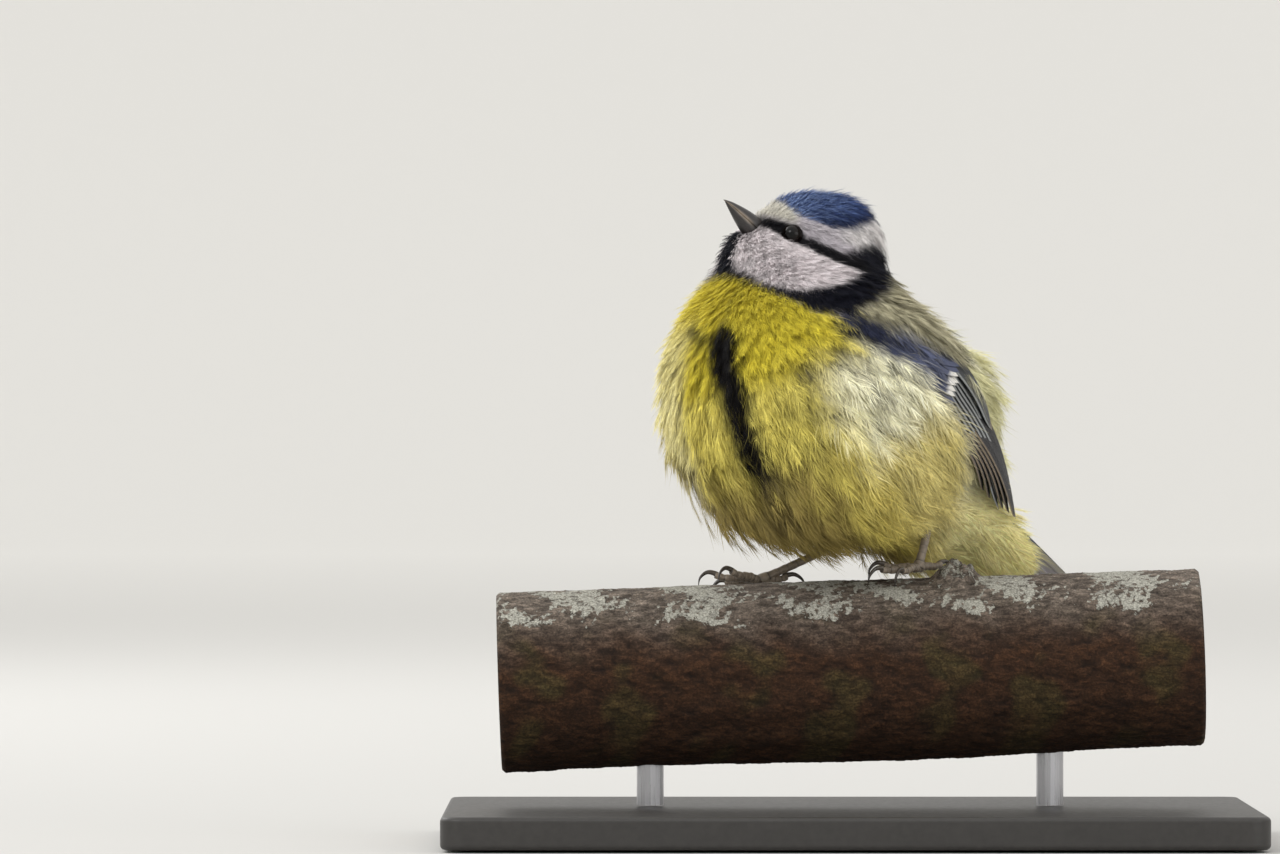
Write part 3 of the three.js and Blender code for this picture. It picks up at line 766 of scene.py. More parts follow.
class BlueTitBareParts(bpy.types.PropertyGroup):
    bill: colour_property("Bill", "Horn of the bill", 38, 34, 33)
    bill_edge: colour_property("Bill edge", "Paler cutting edge of the bill", 160, 146, 130)
    eye: colour_property("Eye", "Dark brown of the eye", 14, 9, 7)
    leg: colour_property("Leg", "Grey-brown of the legs", 138, 126, 112)
    leg_dark: colour_property("Leg seams", "Dark of the seams between scales", 30, 25, 25)
    claw: colour_property("Claw", "Horn of the claws", 24, 19, 18)


class BlueTitSetting(bpy.types.PropertyGroup):
    bark: colour_property("Bark", "Brown of the bark", 60, 39, 24)
    bark_dark: colour_property("Bark cracks", "Dark of the bark's cracks", 26, 17, 12)
    bark_grey: colour_property("Bark grey", "Weathered bark on top of the branch", 122, 112, 102)
    lichen: colour_property("Lichen crust", "Pale grey lichen", 198, 196, 184)
    moss: colour_property("Moss", "Green film on the bark", 70, 66, 36)
    wood: colour_property("Cut wood", "Sawn ends of the branch", 196, 160, 112)
    base: colour_property("Base", "Satin base of the stand", 46, 44, 42)
    rod: colour_property("Rod", "Steel of the rods", 190, 190, 194)
    floor: colour_property("Floor", "Studio floor", 222, 221, 218)


def lay_shafts(coat, roots, lengths, sizes, draw):
    """The middle line of each feather with its normals: it follows the lie of the coat from the root with a
    lean, is drawn into locks, runs straight on along the tail where the coat's surface closes, and rises from
    the skin to the tips' height as the smooth cubic of its own length."""
    row, side = roots
    count = len(row)
    lean = 0.2 * ripple(coat.sample(coat.points, row, side), 9, 5) + draw.normal(0, 0.1, count)
    shaft = np.zeros((count, SHAFT_STEPS, 3))
    normal = np.zeros_like(shaft)
    stride = lengths / (SHAFT_STEPS - 1)
    at_row, at_side, past = row.copy(), side.copy(), np.zeros(count)
    last_row = np.maximum(row, coat.rows - RINGS_ON_TAIL - 6.0)
    for step in range(SHAFT_STEPS):
        shaft[:, step] = coat.sample(coat.points, at_row, at_side) + past[:, None] * TAIL_WAY
        normal[:, step] = coat.sample(coat.normals, at_row, at_side)
        row_step = np.maximum(coat.sample(coat.row_step, at_row, at_side), 0.02)
        next_row = at_row + stride * np.cos(lean) / row_step
        free = np.clip((last_row - at_row) / (next_row - at_row), 0, 1)
        past = past + stride * (1 - free)
        at_row = np.minimum(next_row, last_row)
        side_step = np.maximum(coat.sample(coat.side_step, at_row, at_side), 0.05)
        at_side = at_side + free * stride * np.sin(lean) / side_step
    normal = unit(normal)
    gather_locks(shaft, normal, lengths, draw)
    tip = shaft[:, -1]
    reach = np.linalg.norm(shaft[:, 0] - BILL_BASE, axis=-1)
    depth = coat_depth(reach)
    height = draw.normal(0, 1, count) * sizes.fluff / MM * (lengths / 8)
    height += np.interp(lengths, (3, 9), (0.05, 0.4)) * ripple(tip, 6, 9)
    height += tuft_lift(tip, draw) * lengths / 10 + puff(tip)
    a, _, c = head_place(tip)
    height += 1.1 * smooth(8, 11, a) * smooth(-3, -5, c) * draw.random(count) ** 2.5
    share = smooth(0, 1.15, np.linspace(0, 1, SHAFT_STEPS)) / smooth(0, 1.15, 1.0)
    over_wing = wing_lift(shaft)
    rise = -depth[:, None] + (depth + height)[:, None] * share[None, :] + over_wing
    return shaft + normal * rise[..., None], normal


def plumage_pieces(coat, roots, lengths, dye, strands, sizes, seed):
    """Feathers as fans of barbs. Each feather's shaft runs with the coat from its root, rising from the skin
    to the tips' height; barbs leave it left and right, first outwards and then along it, and narrow to a
    point.

    Returns points (feather, barb, corner, xyz), colours and UVs in the same shape."""
    draw = np.random.default_rng(seed)
    row, side = roots
    count = len(row)
    shaft, normal = lay_shafts(coat, roots, lengths, sizes, draw)
    forward = unit(np.gradient(shaft, axis=1))
    across = unit(np.cross(normal, forward))
    lift = np.cross(forward, across)

    half = strands // 2
    place = (np.arange(strands) // 2 + 0.5) / half
    hand = np.where(np.arange(strands) % 2 == 0, 1.0, -1.0)
    leave = np.clip(0.16 + 0.82 * place[None, :] + draw.normal(0, 0.025, (count, strands)), 0.08, 0.99)
    barb = 0.56 * (1.05 - leave) ** 0.42 * draw.uniform(0.6, 1.3, (count, strands))
    stray = draw.random((count, strands)) < 0.1
    barb = np.where(stray, barb * 1.5, barb)
    angle = np.radians(28 - 17 * leave + draw.normal(0, 6, (count, strands)))
    walk = np.linspace(0, 1, BARB_STEPS + 1)[None, None, :]
    x = leave[..., None] + barb[..., None] * np.cos(angle)[..., None] * walk
    reach_out = barb * np.sin(angle) * hand[None, :]
    y = reach_out[..., None] * (1 - (1 - walk) ** 1.7)
    rise = (draw.normal(0, 0.018, (count, strands)) + np.where(stray, 0.04, 0))[..., None] * walk**1.5
    z = rise - 0.22 * y**2

    over = np.clip(x, 0, 1) * (SHAFT_STEPS - 1)
    index = np.minimum(over.astype(int), SHAFT_STEPS - 2)
    part = (over - index)[..., None]
    feather = np.arange(count)[:, None, None]

    def along_shaft(field):
        return (1 - part) * field[feather, index] + part * field[feather, index + 1]

    size = lengths[:, None, None, None]
    centre = (along_shaft(shaft) + along_shaft(across) * y[..., None] * size
              + along_shaft(lift) * z[..., None] * size
              + along_shaft(forward) * np.maximum(x - 1, 0)[..., None] * size)
    way = unit(np.gradient(centre, axis=2))
    twist = draw.normal(0, 0.3, (count, strands))[..., None, None]
    flat = unit(np.cross(along_shaft(lift), way))
    edge_way = flat * np.cos(twist) + np.cross(way, flat) * np.sin(twist)
    wide = np.clip(0.0062 * lengths, 0.032, 0.066)[:, None] * draw.uniform(0.7, 1.3, (count, strands))
    taper = 1 - 0.6 * walk[..., :-1] ** 1.5
    offset = edge_way[:, :, :-1] * (wide[..., None] * taper)[..., None]
    pairs = np.stack([centre[:, :, :-1] - offset, centre[:, :, :-1] + offset], axis=3)
    corners = np.concatenate([pairs.reshape(count, strands, BARB_STEPS * 2, 3), centre[:, :, -1:]], axis=2)

    shade = draw.normal(0, 0.03, (count, 1, 1)) + draw.normal(0, 0.12, (count, strands, 1)) + 1
    whole = markings(shaft[:, -1], dye)[:, None, :]
    ends = []
    for end in (0, -1):
        at = centre[:, :, end]
        mark = markings(at + draw.normal(0, 0.1, at.shape), dye)
        ends.append(mark + (whole - mark) * np.interp(lengths, (4, 9), (0.05, 0.25))[:, None, None])
    to_corner = np.append(np.repeat(walk[0, 0, :-1], 2), 1.0)[:, None]
    mark = ends[0][:, :, None] * (1 - to_corner) + ends[1][:, :, None] * to_corner
    root_to_tip = np.concatenate([np.repeat(x[..., :-1], 2, axis=-1), x[..., -1:]], -1)
    _, around = body_place(shaft[:, 0])
    large = smooth(3, 8, lengths) * (1 - 0.6 * smooth(-10, -18, shaft[:, 0, 0]))
    large = (large * (1 - 0.75 * smooth(0.46, 0.54, around)))[:, None, None]
    bleach = 1 - large * (1 - smooth(0.28, 0.82, root_to_tip))
    colours = (np.array(dye.down) + (mark - np.array(dye.down)) * bleach[..., None]) * shade[..., None]

    root_uv = np.stack([(side / coat.sides) % 1 * 0.99, row / coat.rows * 0.99], -1)[:, None, None, :]
    local_y = np.concatenate([np.repeat(y[..., :-1], 2, axis=-1), y[..., -1:]], -1) + 0.5
    edge_step = np.append(np.tile([-0.02, 0.02], BARB_STEPS), 0.0)
    uvs = root_uv + BAKE_PATCH * np.stack([local_y + edge_step, root_to_tip * 0.8], -1)
    return corners, colours, uvs


def gather_locks(shaft, normal, lengths, draw):
    """Bends feathers towards the nearest of scattered lock centres, most at the tip, so that gaps open."""
    tips = shaft[:, -1]
    centres = tips[::6]
    nearest = np.empty(len(tips), dtype=int)
    for start in range(0, len(tips), 1000):
        gap = np.linalg.norm(tips[start:start + 1000, None] - centres[None], axis=-1)
        nearest[start:start + 1000] = gap.argmin(axis=1)
    pull = centres[nearest] - tips
    pull = pull - normal[:, -1] * dot(pull, normal[:, -1])[:, None]
    size = np.linalg.norm(pull, axis=-1)
    limit = np.minimum(1, 0.25 * lengths / np.maximum(size, 1e-6))
    pull = pull * (limit * smooth(2, 6, lengths) * draw.uniform(0.1, 0.45, len(tips)))[:, None]
    share = np.linspace(0, 1, shaft.shape[1]) ** 1.7
    shaft += pull[:, None, :] * share[None, :, None]


def tuft_lift(tips, draw):
    """Extra height in millimetres: stray tips all over, the highest under the tail, and the fluffed rump."""
    p, r = tips[:, 0], tips[:, 2]
    rump = smooth(-14, -22, p) * smooth(24, 32, r)
    low = smooth(16, 8, r) * smooth(-30, -20, p)
    loose = draw.random(len(tips)) ** 5
    return 1.9 * rump * draw.random(len(tips)) + (2.2 + 1.2 * low) * loose


def puff(points):
    """How far the coat stands over its surface: less at the nape and under the tail, and more at PUFFS."""
    a, _, c = head_place(points)
    p, r = points[..., 0], points[..., 2]
    total = -0.9 * smooth(-3, -8, a) * smooth(-3, 1, c) - 0.9 * smooth(12, 5, r) * smooth(-14, -6, p)
    for at, size, height in PUFFS:
        total = total + height * smooth(size, 0.4 * size, np.linalg.norm(points - np.array(at), axis=-1))
    return total


def wing_lift(points):
    """How far the coat rises to overlap the wing's lower edge and, near the shoulder, its upper one."""
    s, t, gap = wing_place(points)
    near = smooth(13, 9, gap) * smooth(0.05, 0.16, s)
    lower = smooth(-2.0, -1.2, t) * smooth(-0.4, -0.7, t) * smooth(0.75, 0.45, s)
    upper = smooth(0.3, 0.6, t) * smooth(1.8, 1.0, t) * smooth(0.55, 0.35, s)
    return near * (2.3 * lower + 1.9 * upper)


def barb_triangles(barbs):
    """Two triangles for each step of a barb but the last, which has one."""
    corner = []
    for step in range(BARB_STEPS - 1):
        a, b, c, d = 2 * step, 2 * step + 1, 2 * step + 3, 2 * step + 2
        corner += [(a, b, c), (a, c, d)]
    last = 2 * (BARB_STEPS - 1)
    corner.append((last, last + 1, last + 2))
    start = np.arange(barbs) * (2 * BARB_STEPS + 1)
    return (start[:, None, None] + np.array(corner)[None]).reshape(-1, 3)

def wing_frame(shares, side):
    """The folded wing's middle line with its across and outward directions at shares of its length."""
    knots = np.array(WING_LINE, float) * np.array([1, side, 1])
    middle = line_through(knots, shares)
    ahead, behind = np.minimum(shares + 0.01, 1), np.maximum(shares - 0.01, 0)
    along = unit(line_through(knots, ahead) - line_through(knots, behind))
    out = np.array(WING_OUT) * np.array([1, side, 1])
    out = unit(out - along * dot(along, out)[..., None])
    across = unit(np.cross(out, along)) * side
    return middle, along, np.where(across[..., 2:] < 0, -across, across), out


def wing_place(points):
    """Shares along either wing and half widths across it for points near it, and their distance from it."""
    mirrored = points.copy()
    mirrored[..., 1] = np.abs(mirrored[..., 1])
    shares = np.linspace(0, 1, 60)
    middle, _, across, _ = wing_frame(shares, 1)
    flat = mirrored.reshape(-1, 3)
    nearest = np.empty(len(flat), dtype=int)
    for start in range(0, len(flat), 20000):
        gap = np.linalg.norm(flat[start:start + 20000, None] - middle[None], axis=-1)
        nearest[start:start + 20000] = gap.argmin(axis=1)
    offset = flat - middle[nearest]
    t = dot(offset, across[nearest]) / WING_HALF
    return (shares[nearest].reshape(points.shape[:-1]), t.reshape(points.shape[:-1]),
            np.linalg.norm(offset, axis=-1).reshape(points.shape[:-1]))


def kept_roots(coat, row, side, lengths):
    """Which feathers are kept: those that cover neither an eye nor the bill nor the open part of a wing."""
    root = coat.sample(coat.points, row, side)
    ahead = lengths / np.maximum(coat.sample(coat.row_step, row, side), 0.02)
    keep = np.ones(len(row), dtype=bool)
    for share, under, over in ((0.0, 0.0, 0.0), (0.4, 0.0, 0.0), (0.75, 0.1, 0.1), (1.0, 0.2, 0.25)):
        point = coat.sample(coat.points, np.minimum(row + ahead * share, coat.rows - 1.5), side)
        for hand in (1, -1):
            centre, _ = eye_centre(hand)
            keep &= np.linalg.norm(point - centre, axis=-1) > EYE_RADIUS + 0.3
        s, t, gap = wing_place(point)
        open_wing = (t > edge(WING_LOWER, s) + under) & (t < edge(WING_UPPER, s) - over)
        keep &= ~(open_wing & (gap < np.interp(s, (0.5, 0.65), (14, 3))) & (s > 0.1) & (s < 0.985))
    local = (root - BILL_BASE) @ axes(BILL_PITCH, BILL_YAW).T
    off_axis = np.hypot(local[:, 1] / (BILL_WIDTH / 2), local[:, 2] / (BILL_DEPTH / 2))
    keep &= ~((off_axis < 0.75) & (local[:, 0] > -4))
    return keep


class BLUETIT_OT_skin(bpy.types.Operator):
    """Makes the skin under the coat, over head, neck, trunk and thighs"""

    bl_idname = "bluetit.skin"
    bl_label = "Skin"

    def execute(self, context):
        coat = the_coat()
        dye = context.scene.bluetit_dyes
        thin = slice(None, None, 2)
        points = coat.points[thin, thin]
        normals = coat.normals[thin, thin]
        reach = np.linalg.norm(points - BILL_BASE, axis=-1)
        skin = points - normals * (coat_depth(reach) + 0.15)[..., None]
        rows, sides = skin.shape[:2]
        flat, triangles = closed_grid(skin)
        colours = with_ends(mix(markings(points, dye), dye.down, 0.55 * smooth(10, 26, reach)))
        u = np.repeat(np.arange(sides)[None, :] / sides, rows, axis=0)
        v = np.repeat(np.arange(rows)[:, None] / rows, sides, axis=1)
        uvs = np.concatenate([np.stack([u, v], -1).reshape(-1, 2) * 0.99, [[0.5, 0], [0.5, 0.99]]])
        piece = mesh_piece("skin", to_stand(flat), triangles, colours, uvs)
        finish_piece(piece, plumage_material("skin_plumage"), "plumage",
                     "head", "neck", "trunk", "thigh_left", "thigh_right")
        return {"FINISHED"}


_COAT = []


def the_coat():
    """The grid of the plumage, worked out once."""
    if not _COAT:
        _COAT.append(Coat())
    return _COAT[0]


class BLUETIT_OT_coat(bpy.types.Operator):
    """Covers the skin with overlapping feathers, in pieces by region"""

    bl_idname = "bluetit.coat"
    bl_label = "Coat"

    def execute(self, context):
        coat = the_coat()
        sizes = context.scene.bluetit_sizes
        dye = context.scene.bluetit_dyes
        material = plumage_material("coat_plumage")
        reach = np.linalg.norm(coat.points - BILL_BASE, axis=-1)
        length = coat_length(reach)
        density = COAT_CLOSENESS * sizes.density / coat_spacing(length) ** 2
        small = length < 5.2
        groups = (("head", small, 2.0, sizes.head_strands), ("body", ~small, 1.0, sizes.strands))
        for name, where, closer, strands in groups:
            row, side = coat.scatter(density * closer * where)
            root = coat.sample(coat.points, row, side)
            lengths = coat_length(np.linalg.norm(root - BILL_BASE, axis=-1))
            draw = np.random.default_rng(SEED + strands)
            lengths = fitted(lengths * draw.uniform(0.85, 1.15, len(lengths)), root)
            keep = kept_roots(coat, row, side, lengths)
            row, side, lengths = row[keep], side[keep], lengths[keep]
            triangles_each = strands * (2 * BARB_STEPS - 1)
            parts = int(np.ceil(len(row) * triangles_each / MOST_TRIANGLES))
            for part, chosen in enumerate(np.array_split(np.argsort(side, kind="stable"), parts)):
                roots = (row[chosen], side[chosen])
                seed = SEED + part + strands
                corners, colours, uvs = plumage_pieces(coat, roots, lengths[chosen], dye, strands, sizes,
                                                       seed)
                triangles = barb_triangles(len(chosen) * strands)
                piece = mesh_piece(f"coat_{name}_{part + 1}", to_stand(corners), triangles, colours, uvs)
                finish_piece(piece, material, "plumage")
        return {"FINISHED"}


def tail_height(points):
    """How far points are above the tail's middle line."""
    return (points - np.array(TAIL_ROOT)) @ np.array([TAIL_WAY[2], 0, -TAIL_WAY[0]])


def fitted(lengths, root):
    """Lengths cut so that the coverts end where the tail shows, further back under it than over it, and so
    that the coat is short about the legs."""
    p = root[:, 0]
    last = np.where(tail_height(root) > 1.0, COVERTS_OVER, COVERTS_UNDER)
    room = np.maximum((p - last) / -TAIL_WAY[0], 2.2)
    for at, reach in LEG_GAPS:
        beside = smooth(reach, 0.5 * reach, np.linalg.norm(root - np.array(at), axis=-1))
        lengths = lengths * (1 - 0.6 * beside)
    return np.where(p < -18, np.minimum(lengths, room), lengths)


def vane(root, tip, out, width, bend=0.0, camber=0.03, thick=0.1, steps=18, spans=11, blunt=2.4, tilt=0.0):
    """A closed feather blade: its shaft is a straight line from root to tip bowed outwards by bend, its half
    width rises evenly near the root and falls off near the tip as 1 - t^blunt, and its section is a thin lens
    that curves down to both edges with a raised shaft, rolled by tilt. Returns points, and places along and
    across."""
    s = np.linspace(0, 1, steps)[:, None]
    t = np.linspace(-1, 1, spans)[None, :]
    narrowed = np.maximum(1 - np.clip((s - 0.6) / 0.4, 0, 1) ** blunt, 0.03)
    half = width * np.minimum(1, (s / 0.18) + 0.25) * narrowed
    along = unit(tip - root)
    length = np.linalg.norm(tip - root)
    across = unit(np.cross(out, along))
    rise = unit(np.cross(along, across))
    centre = root + along * (s * length)[..., None] + rise * (bend * np.sin(np.pi * s))[..., None]
    sweep = along * (0.35 * half * np.abs(t) ** 2)[..., None] * -1
    profile = -camber * half * t**2 + tilt * half * t + 0.05 * np.exp(-((t / 0.12) ** 2)) * (1 - s)
    shell = thick / 2 * np.sqrt(np.maximum(1 - t**2, 0)) * (1 - 0.5 * s)
    top = centre + across * (half * t)[..., None] + sweep + rise * (profile + shell)[..., None]
    under = centre + across * (half * t)[..., None] + sweep + rise * (profile - shell)[..., None]
    ring = np.concatenate([top, under[:, -2:0:-1]], axis=1)
    span = np.concatenate([t, t[:, -2:0:-1]], axis=1)
    return ring, np.broadcast_to(s, ring.shape[:2]), np.broadcast_to(span, ring.shape[:2])


def vane_part(shape, paint, length, width):
    """A blade's arrays: colours from paint(along, across), and UVs that are its places in centimetres."""
    ring, s, t = shape
    flat, triangles = closed_grid(ring)
    s = np.concatenate([s.ravel(), [0.0, 1.0]])
    t = np.concatenate([t.ravel(), [0.0, 0.0]])
    return flat, triangles, paint(s, t), np.stack([t * width, s * length - np.abs(t) * width * 0.8], -1) * 0.1


def painted(inner, outer, tip, tip_from, edge_from, hand):
    """A blade's paint: inner colour, outer colour past edge_from on the hand side, and tip colour past
    tip_from."""
    def paint(s, t):
        colour = mix(even(inner, s.shape), outer, smooth(edge_from - 0.08, edge_from + 0.08, t * hand))
        colour = mix(colour, np.array(inner) * SHAFT_SHADE, np.exp(-((t / 0.07) ** 2)) * 0.8)
        return mix(colour, tip, smooth(tip_from - 0.03, tip_from + 0.03, s - 0.04 * np.abs(t)))
    return paint


def vane_piece(name, parts, material, node):
    """A wing or the tail as one piece, from the arrays of its blades."""
    points, triangles, colours, uvs = joined(parts)
    piece = mesh_piece(name, to_stand(points), triangles, colours, uvs, layer="Vane")
    finish_piece(piece, material, "flight_feathers", node)


def wing_feathers(side, dye):
    """The arrays of the wing's blades, from the longest, lowest layer to the shoulder's small ones.

    Each group is spread between a first and a last feather, whose roots and tips are shares along the wing
    and half widths across it; layer lifts a group above the one under it."""
    groups = (
        ("primary", 6, ((0.36, -0.15), (0.32, -0.95)), ((1.0, 0.0), (0.7, -0.9)), 2.3, (0.0, -0.5),
         (dye.flight, dye.buff, dye.buff, 0.98, 0.78)),
        ("secondary", 6, ((0.28, 0.34), (0.3, -0.45)), ((0.93, 0.28), (0.84, -0.66)), 2.1, (0.75, 0.2),
         (dye.flight, dye.edging, dye.buff, 0.97, 0.72)),
        ("tertial", 3, ((0.25, 0.6), (0.27, 0.36)), ((0.62, 0.55), (0.86, 0.34)), 2.0, (1.3, 0.95),
         (dye.tertial, dye.edging, dye.buff, 0.93, 0.74)),
        ("greater_covert", 9, ((0.1, 0.2), (0.12, -0.5)), ((0.31, 0.45), (0.335, -0.75)), 1.8, (1.7, 1.3),
         (dye.small_covert, dye.covert, dye.bar, 0.85, 0.0)),
        ("median_covert", 6, ((0.03, -0.1), (0.03, -0.5)), ((0.225, 0.05), (0.24, -0.66)), 1.6, (1.9, 1.6),
         (dye.small_covert, dye.covert, dye.covert, 0.98, 0.1)),
        ("lesser_covert", 6, ((-0.03, -0.2), (-0.03, -0.45)), ((0.15, -0.2), (0.15, -0.62)), 1.4, (2.0, 1.7),
         (dye.small_covert, dye.small_covert, dye.covert, 0.8, 0.3)),
    )
    draw = np.random.default_rng(SEED + (11 if side > 0 else 12))
    parts = []
    for name, count, roots, tips, width, layer, (inner, outer, tip_colour, tip_from, edge_from) in groups:
        for k in range(count):
            share = k / max(count - 1, 1)
            place = [np.array(a) * (1 - share) + np.array(b) * share for a, b in (roots, tips)]
            lift = layer[0] * (1 - share) + layer[1] * share
            if name == "greater_covert":
                tip_colour = dye.bar if abs(place[1][1] + 0.18) < 0.38 else dye.covert
            ends = []
            for (s, t), deeper in zip(place, (0.9, 0.0)):
                s = s + draw.normal(0, 0.004)
                middle, along, across, out = wing_frame(np.array([np.clip(s, 0, 1)]), side)
                past = (s - np.clip(s, 0, 1)) * WING_LENGTH
                height = lift * 0.55 - deeper + 0.3
                ends.append((middle + across * t * WING_HALF + along * past + out * height
                             - out * 0.25 * t * t)[0])
            root, tip = ends
            out = wing_frame(np.array([0.5 * (place[0][0] + place[1][0])]).clip(0, 1), side)[3][0]
            length = np.linalg.norm(tip - root)
            shape = vane(root, tip, out, width, bend=FEATHER_BOW.get(name, COVERT_BOW),
                         blunt=FEATHER_BLUNT.get(name, COVERT_BLUNT), tilt=-0.1 * side)
            paint = painted(inner, outer, tip_colour, tip_from, edge_from, hand=-side)
            parts.append(vane_part(shape, paint, length, width))
    return parts


class BLUETIT_OT_wings(bpy.types.Operator):
    """Makes both folded wings from coverts, tertials, secondaries and primaries"""

    bl_idname = "bluetit.wings"
    bl_label = "Wings"

    def execute(self, context):
        dye = context.scene.bluetit_dyes
        material = vane_material("wing_vane")
        for hand, side in HANDS:
            vane_piece(f"feathers_wing_{hand}", wing_feathers(side, dye), material, f"wing_{hand}")
        return {"FINISHED"}


class BLUETIT_OT_tail(bpy.types.Operator):
    """Makes the tail: twelve long feathers stacked from the outer pair under to the middle pair on top"""

    bl_idname = "bluetit.tail"
    bl_label = "Tail"

    def execute(self, context):
        dye = context.scene.bluetit_dyes
        root = np.array(TAIL_ROOT)
        across = np.array([0, 1, 0])
        out = unit(np.cross(across, TAIL_WAY))
        parts = []
        for pair in range(5, -1, -1):
            for hand in (1, -1):
                spread = (pair + 0.5) / 5.5 * hand
                start = root + across * spread * 1.3 + out * (0.5 - 0.28 * pair)
                long = TAIL_LENGTH - 1.2 * (pair == 0) - 0.5 * (pair == 5)
                lift = 0.55 - 0.2 * pair - 0.06 * hand
                end = root + TAIL_WAY * long + across * spread * 3.6 + out * lift
                inner, outer = (dye.undertail, dye.bar) if pair == 5 else (dye.tail_dark, dye.tail)
                paint = painted(inner, outer, outer, 0.98, 0.2, hand=-hand)
                shape = vane(start, end, out, TAIL_FEATHER_HALF, bend=0.5, steps=22, blunt=5)
                parts.append(vane_part(shape, paint, TAIL_LENGTH, TAIL_FEATHER_HALF))
        vane_piece("feathers_tail", parts, vane_material("tail_vane"), "tail")
        return {"FINISHED"}


def tube(line, half_width, half_depth, up):
    """A closed tube: an ellipse carried along a line of points, with its depth towards up."""
    along = unit(np.gradient(line, axis=0))
    across = unit(np.cross(along, up))
    deep = np.cross(across, along)
    turn = np.arange(LIMB_SIDES) / LIMB_SIDES * 2 * np.pi
    return (line[:, None] + across[:, None] * (np.cos(turn)[None, :, None] * half_width[..., None])
            + deep[:, None] * (np.sin(turn)[None, :, None] * half_depth[..., None]))


def column(values):
    """Values as one column, which numpy then spreads over a grid's sides."""
    return np.asarray(values)[:, None]


def bill_half(sign):
    """Half of the bill, upper for 1 and lower for -1: half ellipses whose width and depth shrink towards the
    tip as (1 - s)^0.85, a little swollen midway. The upper half also hooks down near the tip as a square, and
    a Gaussian dent marks the nostril. Returns its grid and how pale each point is."""
    length = BILL_LENGTH if sign > 0 else BILL_LENGTH - 0.35
    s = column(np.linspace(0, 1, 40))
    turn = np.linspace(0, np.pi, 21)[None, :]
    taper = (1 - s) ** 0.85 + 0.035
    deep = BILL_DEPTH / 2 * (1.05 if sign > 0 else 0.9) * taper * (1 + 0.12 * np.sin(np.pi * s))
    half = BILL_WIDTH / 2 * taper * (1 + 0.05 * np.sin(np.pi * s))
    x = -BILL_ROOT + (length + BILL_ROOT) * s + 0 * turn
    y = np.cos(turn) * half
    z = sign * (0.05 + np.sin(turn) ** 0.9 * deep)
    if sign > 0:
        y = y * (1 - 0.12 * np.exp(-((turn - 0.35) / 0.12) ** 2 - ((s - 0.38) / 0.12) ** 2))
        z = z - 0.22 * np.clip((s - 0.75) / 0.25, 0, 1) ** 2 + 0.12 * np.sin(np.pi * s)
    along, across, down = axes(BILL_PITCH, BILL_YAW)
    grid = BILL_BASE + x[..., None] * along + y[..., None] * across - z[..., None] * down
    return grid, np.exp(-((np.sin(turn) / 0.13) ** 2)) * smooth(0.15, 0.4, s)

class BLUETIT_OT_bill(bpy.types.Operator):
    """Makes the two halves of the bill"""

    bl_idname = "bluetit.bill"
    bl_label = "Bill"

    def execute(self, context):
        bare = context.scene.bluetit_bare
        shader = Shader("bill_horn")
        mottle = shader.noise(shader.place(), 700.0, 5.0)
        grow = shader.noise(shader.place(scale=(1, 1, 4)), 1600.0, 2.0)
        shader.set(Base_Color=shader.toned(shader.dye(), mottle, (0.3, 0.75), (0.75, 1.25)),
                   Roughness=shader.ramp(mottle, (0.2, 0.3), (0.8, 0.48)), Specular_IOR_Level=0.5,
                   Coat_Weight=0.15, Coat_Roughness=0.3, Normal=shader.bump(grow, 0.00003, 0.5))
        for name, sign in (("upper", 1), ("lower", -1)):
            grid, pale = bill_half(sign)
            flat, triangles = closed_grid(grid)
            colours = with_ends(mix(even(bare.bill, pale.shape), bare.bill_edge, 0.75 * pale))
            piece = mesh_piece(f"horn_bill_{name}", to_stand(flat), triangles, colours)
            finish_piece(piece, shader.material, "bill", f"bill_{name}")
        return {"FINISHED"}
def eye_ball(centre, ray, up):
    """A sphere about centre whose pole looks along ray, swollen over the pole as a Gaussian. Returns its grid
    and how much of each point is pupil."""
    beside = np.cross(up, ray)
    tilt = column(np.linspace(0.02, np.pi - 0.02, 32))
    turn = np.linspace(0, 2 * np.pi, 48, endpoint=False)[None, :]
    bulge = EYE_RADIUS * (1 + 0.06 * np.exp(-((tilt / 0.55) ** 2)))
    grid = (centre + ray * (np.cos(tilt) * bulge + 0 * turn)[..., None]
            + up * (np.sin(tilt) * np.cos(turn) * bulge)[..., None]
            + beside * (np.sin(tilt) * np.sin(turn) * bulge)[..., None])
    return grid, smooth(0.62, 0.5, tilt) + 0 * turn


